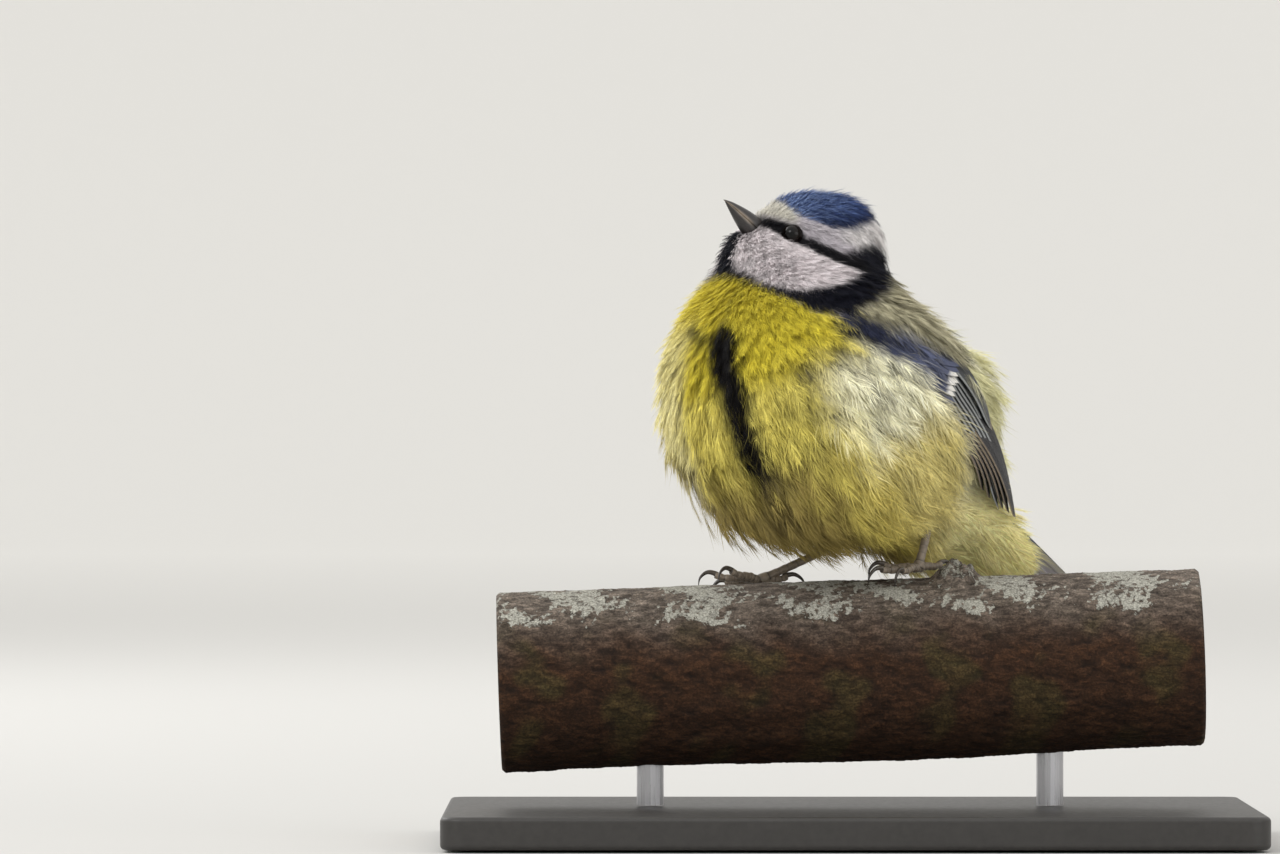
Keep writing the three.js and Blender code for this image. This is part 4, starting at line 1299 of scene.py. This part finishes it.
def eye_lid(centre, ray, up):
    """The points and triangles of an oval ring about ray, whose round section is beaded by a sine."""
    beside = np.cross(up, ray)
    around = column(np.linspace(0, 2 * np.pi, LID_STEPS, endpoint=False))
    section = np.linspace(0, 2 * np.pi, LID_SIDES, endpoint=False)[None, :]
    rim = 0.24 + 0.02 * np.sin(around * 17)
    radius = 1 + rim * np.cos(section) / 1.6
    ring = (centre + ray * (0.95 + rim * 0.9 * np.sin(section))[..., None]
            + up * (np.cos(around) * LID_UP * radius)[..., None]
            + beside * (np.sin(around) * LID_BESIDE * radius)[..., None])
    flat = ring.reshape(-1, 3)
    triangles = grid_triangles(LID_STEPS + 1, LID_SIDES) % len(flat)
    if signed_volume(flat - centre, triangles) < 0:
        triangles = triangles[:, ::-1]
    return flat, triangles
class BLUETIT_OT_eyes(bpy.types.Operator):
    """Makes the eyes and the dark rims of their lids"""

    bl_idname = "bluetit.eyes"
    bl_label = "Eyes"

    def execute(self, context):
        bare = context.scene.bluetit_bare
        ball = Shader("eye_wet")
        iris = ball.noise(ball.place(), 1200.0, 3.0)
        ball.set(Base_Color=ball.toned(ball.dye(), iris, (0.3, 0.7), (0.7, 1.3)), Roughness=0.04,
                 Specular_IOR_Level=0.22)
        lid = Shader("eye_lid")
        bead = lid.noise(lid.place(), 2500.0, 2.0)
        lid.set(Base_Color=lid.toned(lid.dye(), bead, (0.3, 0.7), (0.7, 1.3)), Roughness=0.8,
                Specular_IOR_Level=0.1, Normal=lid.bump(bead, 0.00008, 0.8))
        for hand, side in HANDS:
            centre, ray = eye_centre(side)
            up = unit(np.array([0.0, 0.0, 1.0]) - ray * ray[2])
            grid, pupil = eye_ball(centre, ray, up)
            flat, triangles = closed_grid(grid)
            colours = with_ends(mix(even(bare.eye, pupil.shape), (0.002, 0.002, 0.002), pupil))
            piece = mesh_piece(f"ball_eye_{hand}", to_stand(flat), triangles, colours)
            finish_piece(piece, ball.material, "eye", f"eye_{hand}")
            flat, triangles = eye_lid(centre, ray, up)
            piece = mesh_piece(f"lid_{hand}", to_stand(flat), triangles, even(bare.eye, flat.shape[:1]))
            finish_piece(piece, lid.material, "plumage")
        return {"FINISHED"}


def on_perch(x, round_, height):
    """A point height above the perch in the stand's millimetres: x along it, round_ from its top to the
    front."""
    reach = PERCH_RADIUS + height
    x, y, z = np.broadcast_arrays(x, -reach * np.sin(round_), reach * np.cos(round_))
    c, s = np.cos(PERCH_TILT), np.sin(PERCH_TILT)
    return np.stack([x * c - z * s, y, x * s + z * c + PERCH_TOP - PERCH_RADIUS], -1)


def bezier_line(points, count):
    """A smooth line through a few points, at even steps."""
    return line_through(np.array(points, float), np.linspace(0, 1, count))


def scuted(radius, shares, scutes, depth=0.06):
    """A radius with overlapping scales: each swells slowly and steps down at its edge."""
    phase = (shares * scutes) % 1
    return radius * (1 + depth * (phase - 0.5) * 2 * smooth(1.0, 0.85, phase))


class BLUETIT_OT_feet(bpy.types.Operator):
    """Makes the scaly legs and toes and the curved claws"""

    bl_idname = "bluetit.feet"
    bl_label = "Feet"

    def execute(self, context):
        bare = context.scene.bluetit_bare
        leg = Shader("leg_scales")
        grain = leg.noise(leg.place(), 1400.0, 4.0)
        leg.set(Base_Color=leg.toned(leg.dye(), grain, (0.3, 0.75), (0.7, 1.25)),
                Roughness=leg.ramp(grain, (0.2, 0.4), (0.8, 0.6)), Normal=leg.bump(grain, 0.00005, 0.6))
        horn = Shader("claw_horn")
        streak = horn.noise(horn.place(), 1100.0, 3.0)
        horn.set(Base_Color=horn.toned(horn.dye(), streak, (0.3, 0.75), (0.7, 1.3)),
                 Roughness=horn.ramp(streak, (0.2, 0.2), (0.8, 0.38)), Coat_Weight=0.2, Coat_Roughness=0.2)
        for hand, stance in FEET.items():
            pad = on_perch(stance["x"], stance["round"], TOE_RADIUS + 0.9)
            ankle = np.array(stance["ankle"])
            up = ankle + (ankle - pad) * 0.22
            middle = pad + (ankle - pad) * 0.5 + np.array([0.25, -0.25, 0])
            s = np.linspace(0, 1, 90)
            knuckle = 0.38 * np.exp(-((s / 0.09) ** 2)) + 0.3 * np.exp(-(((0.86 - s) / 0.1) ** 2))
            shin = column(scuted(TARSUS_RADIUS * 1.02 + knuckle, s, 11))
            line = bezier_line([pad, middle, ankle, up], 90)
            parts = [self.limb(line, shin, shin * 1.12, (0, 1, 0.01), s, 11, bare)]
            for name, (bearing, length, claw) in TOES.items():
                heading = np.radians(stance["heading"] + bearing)

                def walk(distance, height):
                    return on_perch(stance["x"] - np.cos(heading) * distance,
                                    stance["round"] + np.sin(heading) * distance / PERCH_RADIUS, height)

                rest = TOE_RADIUS + GAP
                s = np.linspace(0, 1, 60)
                toe = bezier_line([pad, walk(length * 0.4, rest + 1), walk(length * 0.75, rest + 0.9),
                                   walk(length + 0.5, rest + 1.45)], 60)
                joints = 0.12 * np.sin(s * np.pi * 5) ** 2
                wide = column(scuted(TOE_RADIUS * (0.98 - 0.25 * s) + joints, s, 9, 0.05))
                parts.append(self.limb(toe, wide, wide * 0.95, (0, 0, 1), s, 9, bare))
                reach = length + TOE_RADIUS * 0.5
                hook = bezier_line([walk(reach - 0.6, rest + 1.4), walk(reach, rest + 1.75),
                                    walk(reach + claw * 0.28, rest + 2), walk(reach + claw * 0.56, rest + 1),
                                    walk(reach + claw * 0.66, 0.1)], 44)
                s = np.linspace(0, 1, 44)
                thick = column(np.maximum(0.05, CLAW_RADIUS * (1 - s) ** 0.75))
                flat, triangles = closed_grid(tube(hook, thick * 0.8, thick, (0, 0, 1)))
                shade = mix(even(bare.claw, s.shape), bare.leg, 0.35 * (1 - s))
                colours = with_ends(np.repeat(shade, LIMB_SIDES, 0))
                piece = mesh_piece(f"horn_claw_{hand}_{name}", flat * MM, triangles, colours)
                finish_piece(piece, horn.material, "claw", f"claw_{hand}_{name}")
            points, triangles, colours, _ = joined(parts)
            piece = mesh_piece(f"scales_foot_{hand}", points * MM, triangles, colours)
            finish_piece(piece, leg.material, "leg", f"foot_{hand}")
        return {"FINISHED"}

    def limb(self, line, wide, deep, up, shares, scutes, bare):
        """One scaly tube with dark seams between its scales."""
        flat, triangles = closed_grid(tube(line, wide, deep, up))
        seam = np.exp(-(((shares * scutes + 0.02) % 1 / 0.12) ** 2))
        shade = mix(even(bare.leg, shares.shape), bare.leg_dark, 0.8 * seam)
        return flat, triangles, with_ends(np.repeat(shade, LIMB_SIDES, 0)), np.zeros((len(flat), 2))


def branch(look, crusted):
    """The grid and dyes of the cut branch: a cylinder swollen underneath by sines, with a knob that falls off
    as exp(-d^4), ridges that are sums of sines, cracks where the coarse ones cross zero, and crusts of
    lichen. Each end closes in rings of sawn wood. The fourth dye is lichen on bark, and 1 marks wood."""
    steps, sides, rings = 420, 210, 16
    x = column(np.linspace(-0.5, 0.5, steps) * PERCH_LENGTH)
    turn = np.arange(sides)[None, :] / sides * 2 * np.pi
    surface = np.stack(np.broadcast_arrays(x, PERCH_RADIUS * np.sin(turn), PERCH_RADIUS * np.cos(turn)), -1)
    under = 0.5 - 0.5 * np.cos(turn)
    swell = under * (0.35 * np.sin(x * 0.06 + 1) + 0.25 * np.sin(3 * turn + x * 0.03))
    away = np.hypot(x - KNOB_X, PERCH_RADIUS * np.sin(turn - KNOB_ROUND)) / KNOB_WIDTH
    knob = np.where(np.cos(turn) > 0, np.exp(-(0.85 * away) ** 4), 0)
    bump = KNOB_HEIGHT * knob * (1 + 0.4 * ripple(surface, 2.6, 24))
    coarse = ripple(surface * np.array([0.45, 1, 1]), 7, 21)
    fine = ripple(surface * np.array([0.5, 1, 1]), 2.2, 22)
    grit = ripple(surface, 0.9, 23)
    cracks = -np.exp(-((coarse + 0.3 * fine) / 0.09) ** 2)
    top = smooth(0.05, 0.85, np.cos(turn + 0.1) + 0.1 * ripple(surface, 14, 34))
    crust = 0.9 * ripple(surface * np.array([0.6, 1, 1]), 8, 31) + 0.5 * ripple(surface, 1.9, 32)
    crust = crust + 1.6 * (crusted - 0.75) + 0.9 * (top - 0.5)
    lichen = smooth(-0.7, 0.5, crust) * smooth(0.2, 0.7, top)
    lichen = 0.64 * np.maximum(lichen * (1 - knob), 0.86 * smooth(0.1, 0.5, knob))
    height = swell + bump + 0.16 * coarse + 0.1 * fine + 0.07 * grit
    height = height + 0.14 * cracks * (1 - lichen) + 0.12 * lichen
    points = on_perch(x, turn, height - 0.25)
    chamfer = smooth(0, 0.6, PERCH_LENGTH / 2 - np.abs(x))
    centre = on_perch(x, turn, -PERCH_RADIUS)
    points = centre + (points - centre) * (0.97 + 0.03 * chamfer)[..., None]
    shade = mix(even(look.bark, height.shape), look.bark_grey, 0.85 * top)
    shade = mix(shade, look.bark_dark, np.clip(-cracks * 0.35 + 0.4 * smooth(0.2, -0.6, fine), 0, 1))
    shade = mix(shade, look.moss, 0.4 * smooth(0.1, 0.7, ripple(surface, 16, 33)) * (1 - top))
    shade = np.clip(shade * (1 + 0.12 * grit)[..., None], 0, 1)

    faces, woods = [], []
    for end in (0, -1):
        share = column(np.linspace(1, 0, rings + 1)[1:])
        middle = centre[end].mean(axis=0)
        face = middle + (points[end] - middle) * share[..., None]
        tone = 0.82 + 0.18 * np.sin(share * 60 + 0.6 * np.sin(turn * 3))
        rim = smooth(0.86, 0.95, share + 0 * turn)
        wood = mix(np.array(look.wood) * tone[..., None], look.bark_dark, rim)
        faces.append(face[:-1])
        woods.append(np.concatenate([wood, np.ones((*wood.shape[:2], 1))], -1)[:-1])
    grid = np.concatenate([faces[0][::-1], points, faces[1]])
    dyes = np.concatenate([woods[0][::-1], np.concatenate([shade, lichen[..., None]], -1), woods[1]])
    return grid, with_ends(dyes)


def bark_material(look):
    """Flaking bark under crusts of scaly lichen, pitted all over, with plain fibre on the sawn ends."""
    bark = Shader("bark_lichen")
    dyed = bark.add("Attribute", attribute_name="dye").outputs
    flakes = bark.noise(bark.place(scale=(0.4, 1, 1)), 1000.0, 8.0, 0.75, 0.6)
    pits = bark.noise(bark.place(), 2600.0, 4.0)
    crinkle = bark.noise(bark.place(), 620.0, 9.0, 0.75, 1.2)
    scales = bark.add("TexVoronoi", {"Vector": bark.place(), "Scale": 1500.0}, feature="DISTANCE_TO_EDGE")
    half = bark.add("Math", {0: dyed["Alpha"], 1: 0.5}, operation="MULTIPLY").outputs[0]
    total = bark.add("Math", {0: crinkle, 1: 0.5, 2: half}, operation="MULTIPLY_ADD").outputs[0]
    crust = bark.ramp(total, (0.525, 0.0), (0.54, 1.0))
    colour = bark.toned(dyed["Color"], flakes, (0.32, 0.25), (0.5, 0.85), (0.68, 1.9))
    colour = bark.toned(colour, pits, (0.3, 0.5), (0.7, 1.5))
    pale = bark.ramp(pits, (0.25, scaled(look.lichen, 0.4)), (0.7, tuple(look.lichen)))
    pale = bark.toned(pale, scales.outputs["Distance"], (0.0, 0.6), (0.15, 1.0))
    colour = bark.blend("MIX", crust, colour, pale)
    fibre = bark.toned(dyed["Color"], pits, (0.3, 0.85), (0.7, 1.12))
    colour = bark.blend("MIX", bark.ramp(dyed["Alpha"], (0.8, 0.0), (0.95, 1.0)), colour, fibre)
    raised = bark.bump(crust, 0.0003, 0.7, below=bark.bump(flakes, 0.0006, 0.8))
    bark.set(Base_Color=colour, Roughness=bark.ramp(pits, (0.2, 0.78), (0.8, 0.95)),
             Specular_IOR_Level=0.25, Normal=bark.bump(pits, 0.0002, 0.5, below=raised))
    return bark.material


class BLUETIT_OT_perch(bpy.types.Operator):
    """Makes the cut branch: bark with ridges, a knob, lichen crusts and sawn ends"""

    bl_idname = "bluetit.perch"
    bl_label = "Perch"

    def execute(self, context):
        look = context.scene.bluetit_setting
        grid, dyes = branch(look, context.scene.bluetit_sizes.lichen)
        flat, triangles = closed_grid(grid)
        piece = mesh_piece("bark_perch", flat * MM, triangles, dyes)
        finish_piece(piece, bark_material(look), "bark", "perch")
        return {"FINISHED"}


def base_grid():
    """The stand's base as rings of a rounded rectangle: in from the middle of its underside, up its side, and
    back in over its top, with quarter circles for both edges."""
    turn = np.linspace(0, 2 * np.pi, 128, endpoint=False)[None, :]
    quarter = np.linspace(0, np.pi / 2, 7)
    inwards, upwards = BASE_BEVEL * (1 - np.sin(quarter)), BASE_BEVEL * (1 - np.cos(quarter))
    inset = np.concatenate([[12, 4, 1.6], inwards, upwards, [1.6, 4, 12]])
    lift = np.concatenate([[0] * 3, upwards, BASE_THICK - inwards, [BASE_THICK] * 3])
    radius = np.maximum(BASE_CORNER - inset, 0.4)[:, None]
    half_x = BASE_LENGTH / 2 - inset[:, None]
    half_y = BASE_DEPTH / 2 - inset[:, None]
    x = np.cos(turn) * radius + np.sign(np.cos(turn)) * (half_x - radius)
    y = np.sin(turn) * radius + np.sign(np.sin(turn)) * (half_y - radius)
    return np.stack([x, y, lift[:, None] + 0 * turn], -1)


class BLUETIT_OT_stand(bpy.types.Operator):
    """Makes the base of the stand and finishes its rods"""

    bl_idname = "bluetit.stand"
    bl_label = "Stand"

    def execute(self, context):
        look = context.scene.bluetit_setting
        flat, triangles = closed_grid(base_grid())
        piece = mesh_piece("satin_base", flat * MM, triangles, smooth_faces=False)
        base = Shader("base_satin")
        grain = base.noise(base.place(), 900.0, 3.0)
        tint = base.ramp(grain, (0.3, scaled(look.base, 0.85)), (0.7, scaled(look.base, 1.15)))
        base.set(Base_Color=tint, Roughness=base.ramp(grain, (0.2, 0.42), (0.8, 0.55)),
                 Specular_IOR_Level=0.5, Normal=base.bump(grain, 0.00003, 0.4))
        finish_piece(piece, base.material, "stand_base", "stand_base")
        rod = Shader("rod_steel")
        brush = rod.noise(rod.place(scale=(1, 1, 0.03)), 3000.0, 2.0)
        tint = rod.ramp(brush, (0.3, scaled(look.rod, 0.8)), (0.7, tuple(look.rod)))
        rod.set(Base_Color=tint, Metallic=1.0, Roughness=rod.ramp(brush, (0.2, 0.22), (0.8, 0.4)),
                Normal=rod.bump(brush, 0.00002, 0.3))
        for node in ("stand_rod_1", "stand_rod_2"):
            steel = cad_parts[node]
            steel.data.materials.clear()
            steel.data.materials.append(rod.material)
        return {"FINISHED"}
def floor_bowl():
    """A wide disc that curves up at its far edge as the 2.5th power of the distance."""
    share = column(np.linspace(0, 1, 60))
    turn = np.linspace(0, 2 * np.pi, 96, endpoint=False)[None, :]
    reach = 0.02 + 9 * share
    rise = 4.0 * np.clip((share - 0.55) / 0.45, 0, 1) ** 2.5
    return np.stack([reach * np.cos(turn), reach * np.sin(turn), rise - 0.0005 + 0 * turn], -1)
class BLUETIT_OT_stage(bpy.types.Operator):
    """Sets the pale floor, the soft lights and the camera"""

    bl_idname = "bluetit.stage"
    bl_label = "Stage"

    def execute(self, context):
        look = context.scene.bluetit_setting
        bowl = floor_bowl()
        floor = mesh_piece("studio_floor", bowl, grid_triangles(*bowl.shape[:2])[:, ::-1])
        paint = Shader("floor_paint")
        place = paint.place(scale=(0.11, 0.11, 0.11))
        reach = paint.add("VectorMath", {0: place}, operation="LENGTH").outputs["Value"]
        # The floor is painted darker towards its middle: painted shade that evens out the pool of lamp light
        # round the stand.
        tint = paint.ramp(reach, (0.03, scaled(look.floor, 0.72)), (0.5, tuple(look.floor)))
        paint.set(Base_Color=tint, Roughness=0.9, Specular_IOR_Level=0.2)
        floor.data.materials.append(paint.material)

        world = bpy.data.worlds.new("soft_sky")
        world.use_nodes = True
        sky = world.node_tree.nodes["Background"]
        sky.inputs["Color"].default_value = (1.0, 0.99, 0.97, 1)
        sky.inputs["Strength"].default_value = 1.15
        context.scene.world = world
        for name, at, size, power in (
            ("key", (-0.9, -1.2, 1.2), 1.0, 12),
            ("fill", (1.2, -1.2, 0.35), 1.2, 5),
            ("rim", (-1.0, 1.0, 0.9), 0.9, 10),
        ):
            lamp = bpy.data.lights.new(name, "AREA")
            lamp.energy = power
            lamp.shape = "DISK"
            lamp.size = size
            holder = bpy.data.objects.new(name, lamp)
            holder.location = at
            toward = np.array([0.0, 0.0, 0.07]) - np.array(at)
            yaw = np.arctan2(toward[1], toward[0]) - np.pi / 2
            pitch = np.arctan2(toward[2], np.hypot(toward[0], toward[1])) + np.pi / 2
            holder.rotation_euler = (pitch, 0, yaw)
            context.scene.collection.objects.link(holder)

        lens = bpy.data.cameras.new("photograph")
        lens.sensor_width = SENSOR
        lens.lens = SENSOR * -CAMERA_AT[1] / VIEW_WIDTH
        lens.clip_end = 100
        camera = bpy.data.objects.new("photograph", lens)
        camera.location = tuple(v * MM for v in CAMERA_AT)
        camera.rotation_euler = (np.pi / 2, 0, 0)
        context.scene.collection.objects.link(camera)
        context.scene.camera = camera
        context.scene.view_settings.view_transform = "Standard"
        return {"FINISHED"}


OPERATORS = (
    BLUETIT_OT_skin,
    BLUETIT_OT_coat,
    BLUETIT_OT_wings,
    BLUETIT_OT_tail,
    BLUETIT_OT_bill,
    BLUETIT_OT_eyes,
    BLUETIT_OT_feet,
    BLUETIT_OT_perch,
    BLUETIT_OT_stand,
    BLUETIT_OT_stage,
)


class BLUETIT_PT_panel(bpy.types.Panel):
    """Lists the bird's sizes, colours and pieces"""

    bl_idname = "BLUETIT_PT_panel"
    bl_label = "Blue Tit"
    bl_space_type = "VIEW_3D"
    bl_region_type = "UI"
    bl_category = "Blue Tit"

    def draw(self, context):
        for group in SETTINGS.values():
            settings = getattr(context.scene, group)
            for name in settings.bl_rna.properties.keys():
                if name not in {"rna_type", "name"}:
                    self.layout.prop(settings, name)
        for operator in OPERATORS:
            self.layout.operator(operator.bl_idname)


SETTINGS = {
    BlueTitSizes: "bluetit_sizes",
    BlueTitDyes: "bluetit_dyes",
    BlueTitBareParts: "bluetit_bare",
    BlueTitSetting: "bluetit_setting",
}
CLASSES = (*SETTINGS, *OPERATORS, BLUETIT_PT_panel)


def register():
    for cls in CLASSES:
        bpy.utils.register_class(cls)
    for cls, name in SETTINGS.items():
        setattr(bpy.types.Scene, name, PointerProperty(type=cls))


def unregister():
    for name in SETTINGS.values():
        delattr(bpy.types.Scene, name)
    for cls in reversed(CLASSES):
        bpy.utils.unregister_class(cls)


def main():
    register()
    for operator in OPERATORS:
        family, action = operator.bl_idname.split(".")
        getattr(getattr(bpy.ops, family), action)()


if __name__ == "__main__":
    main()
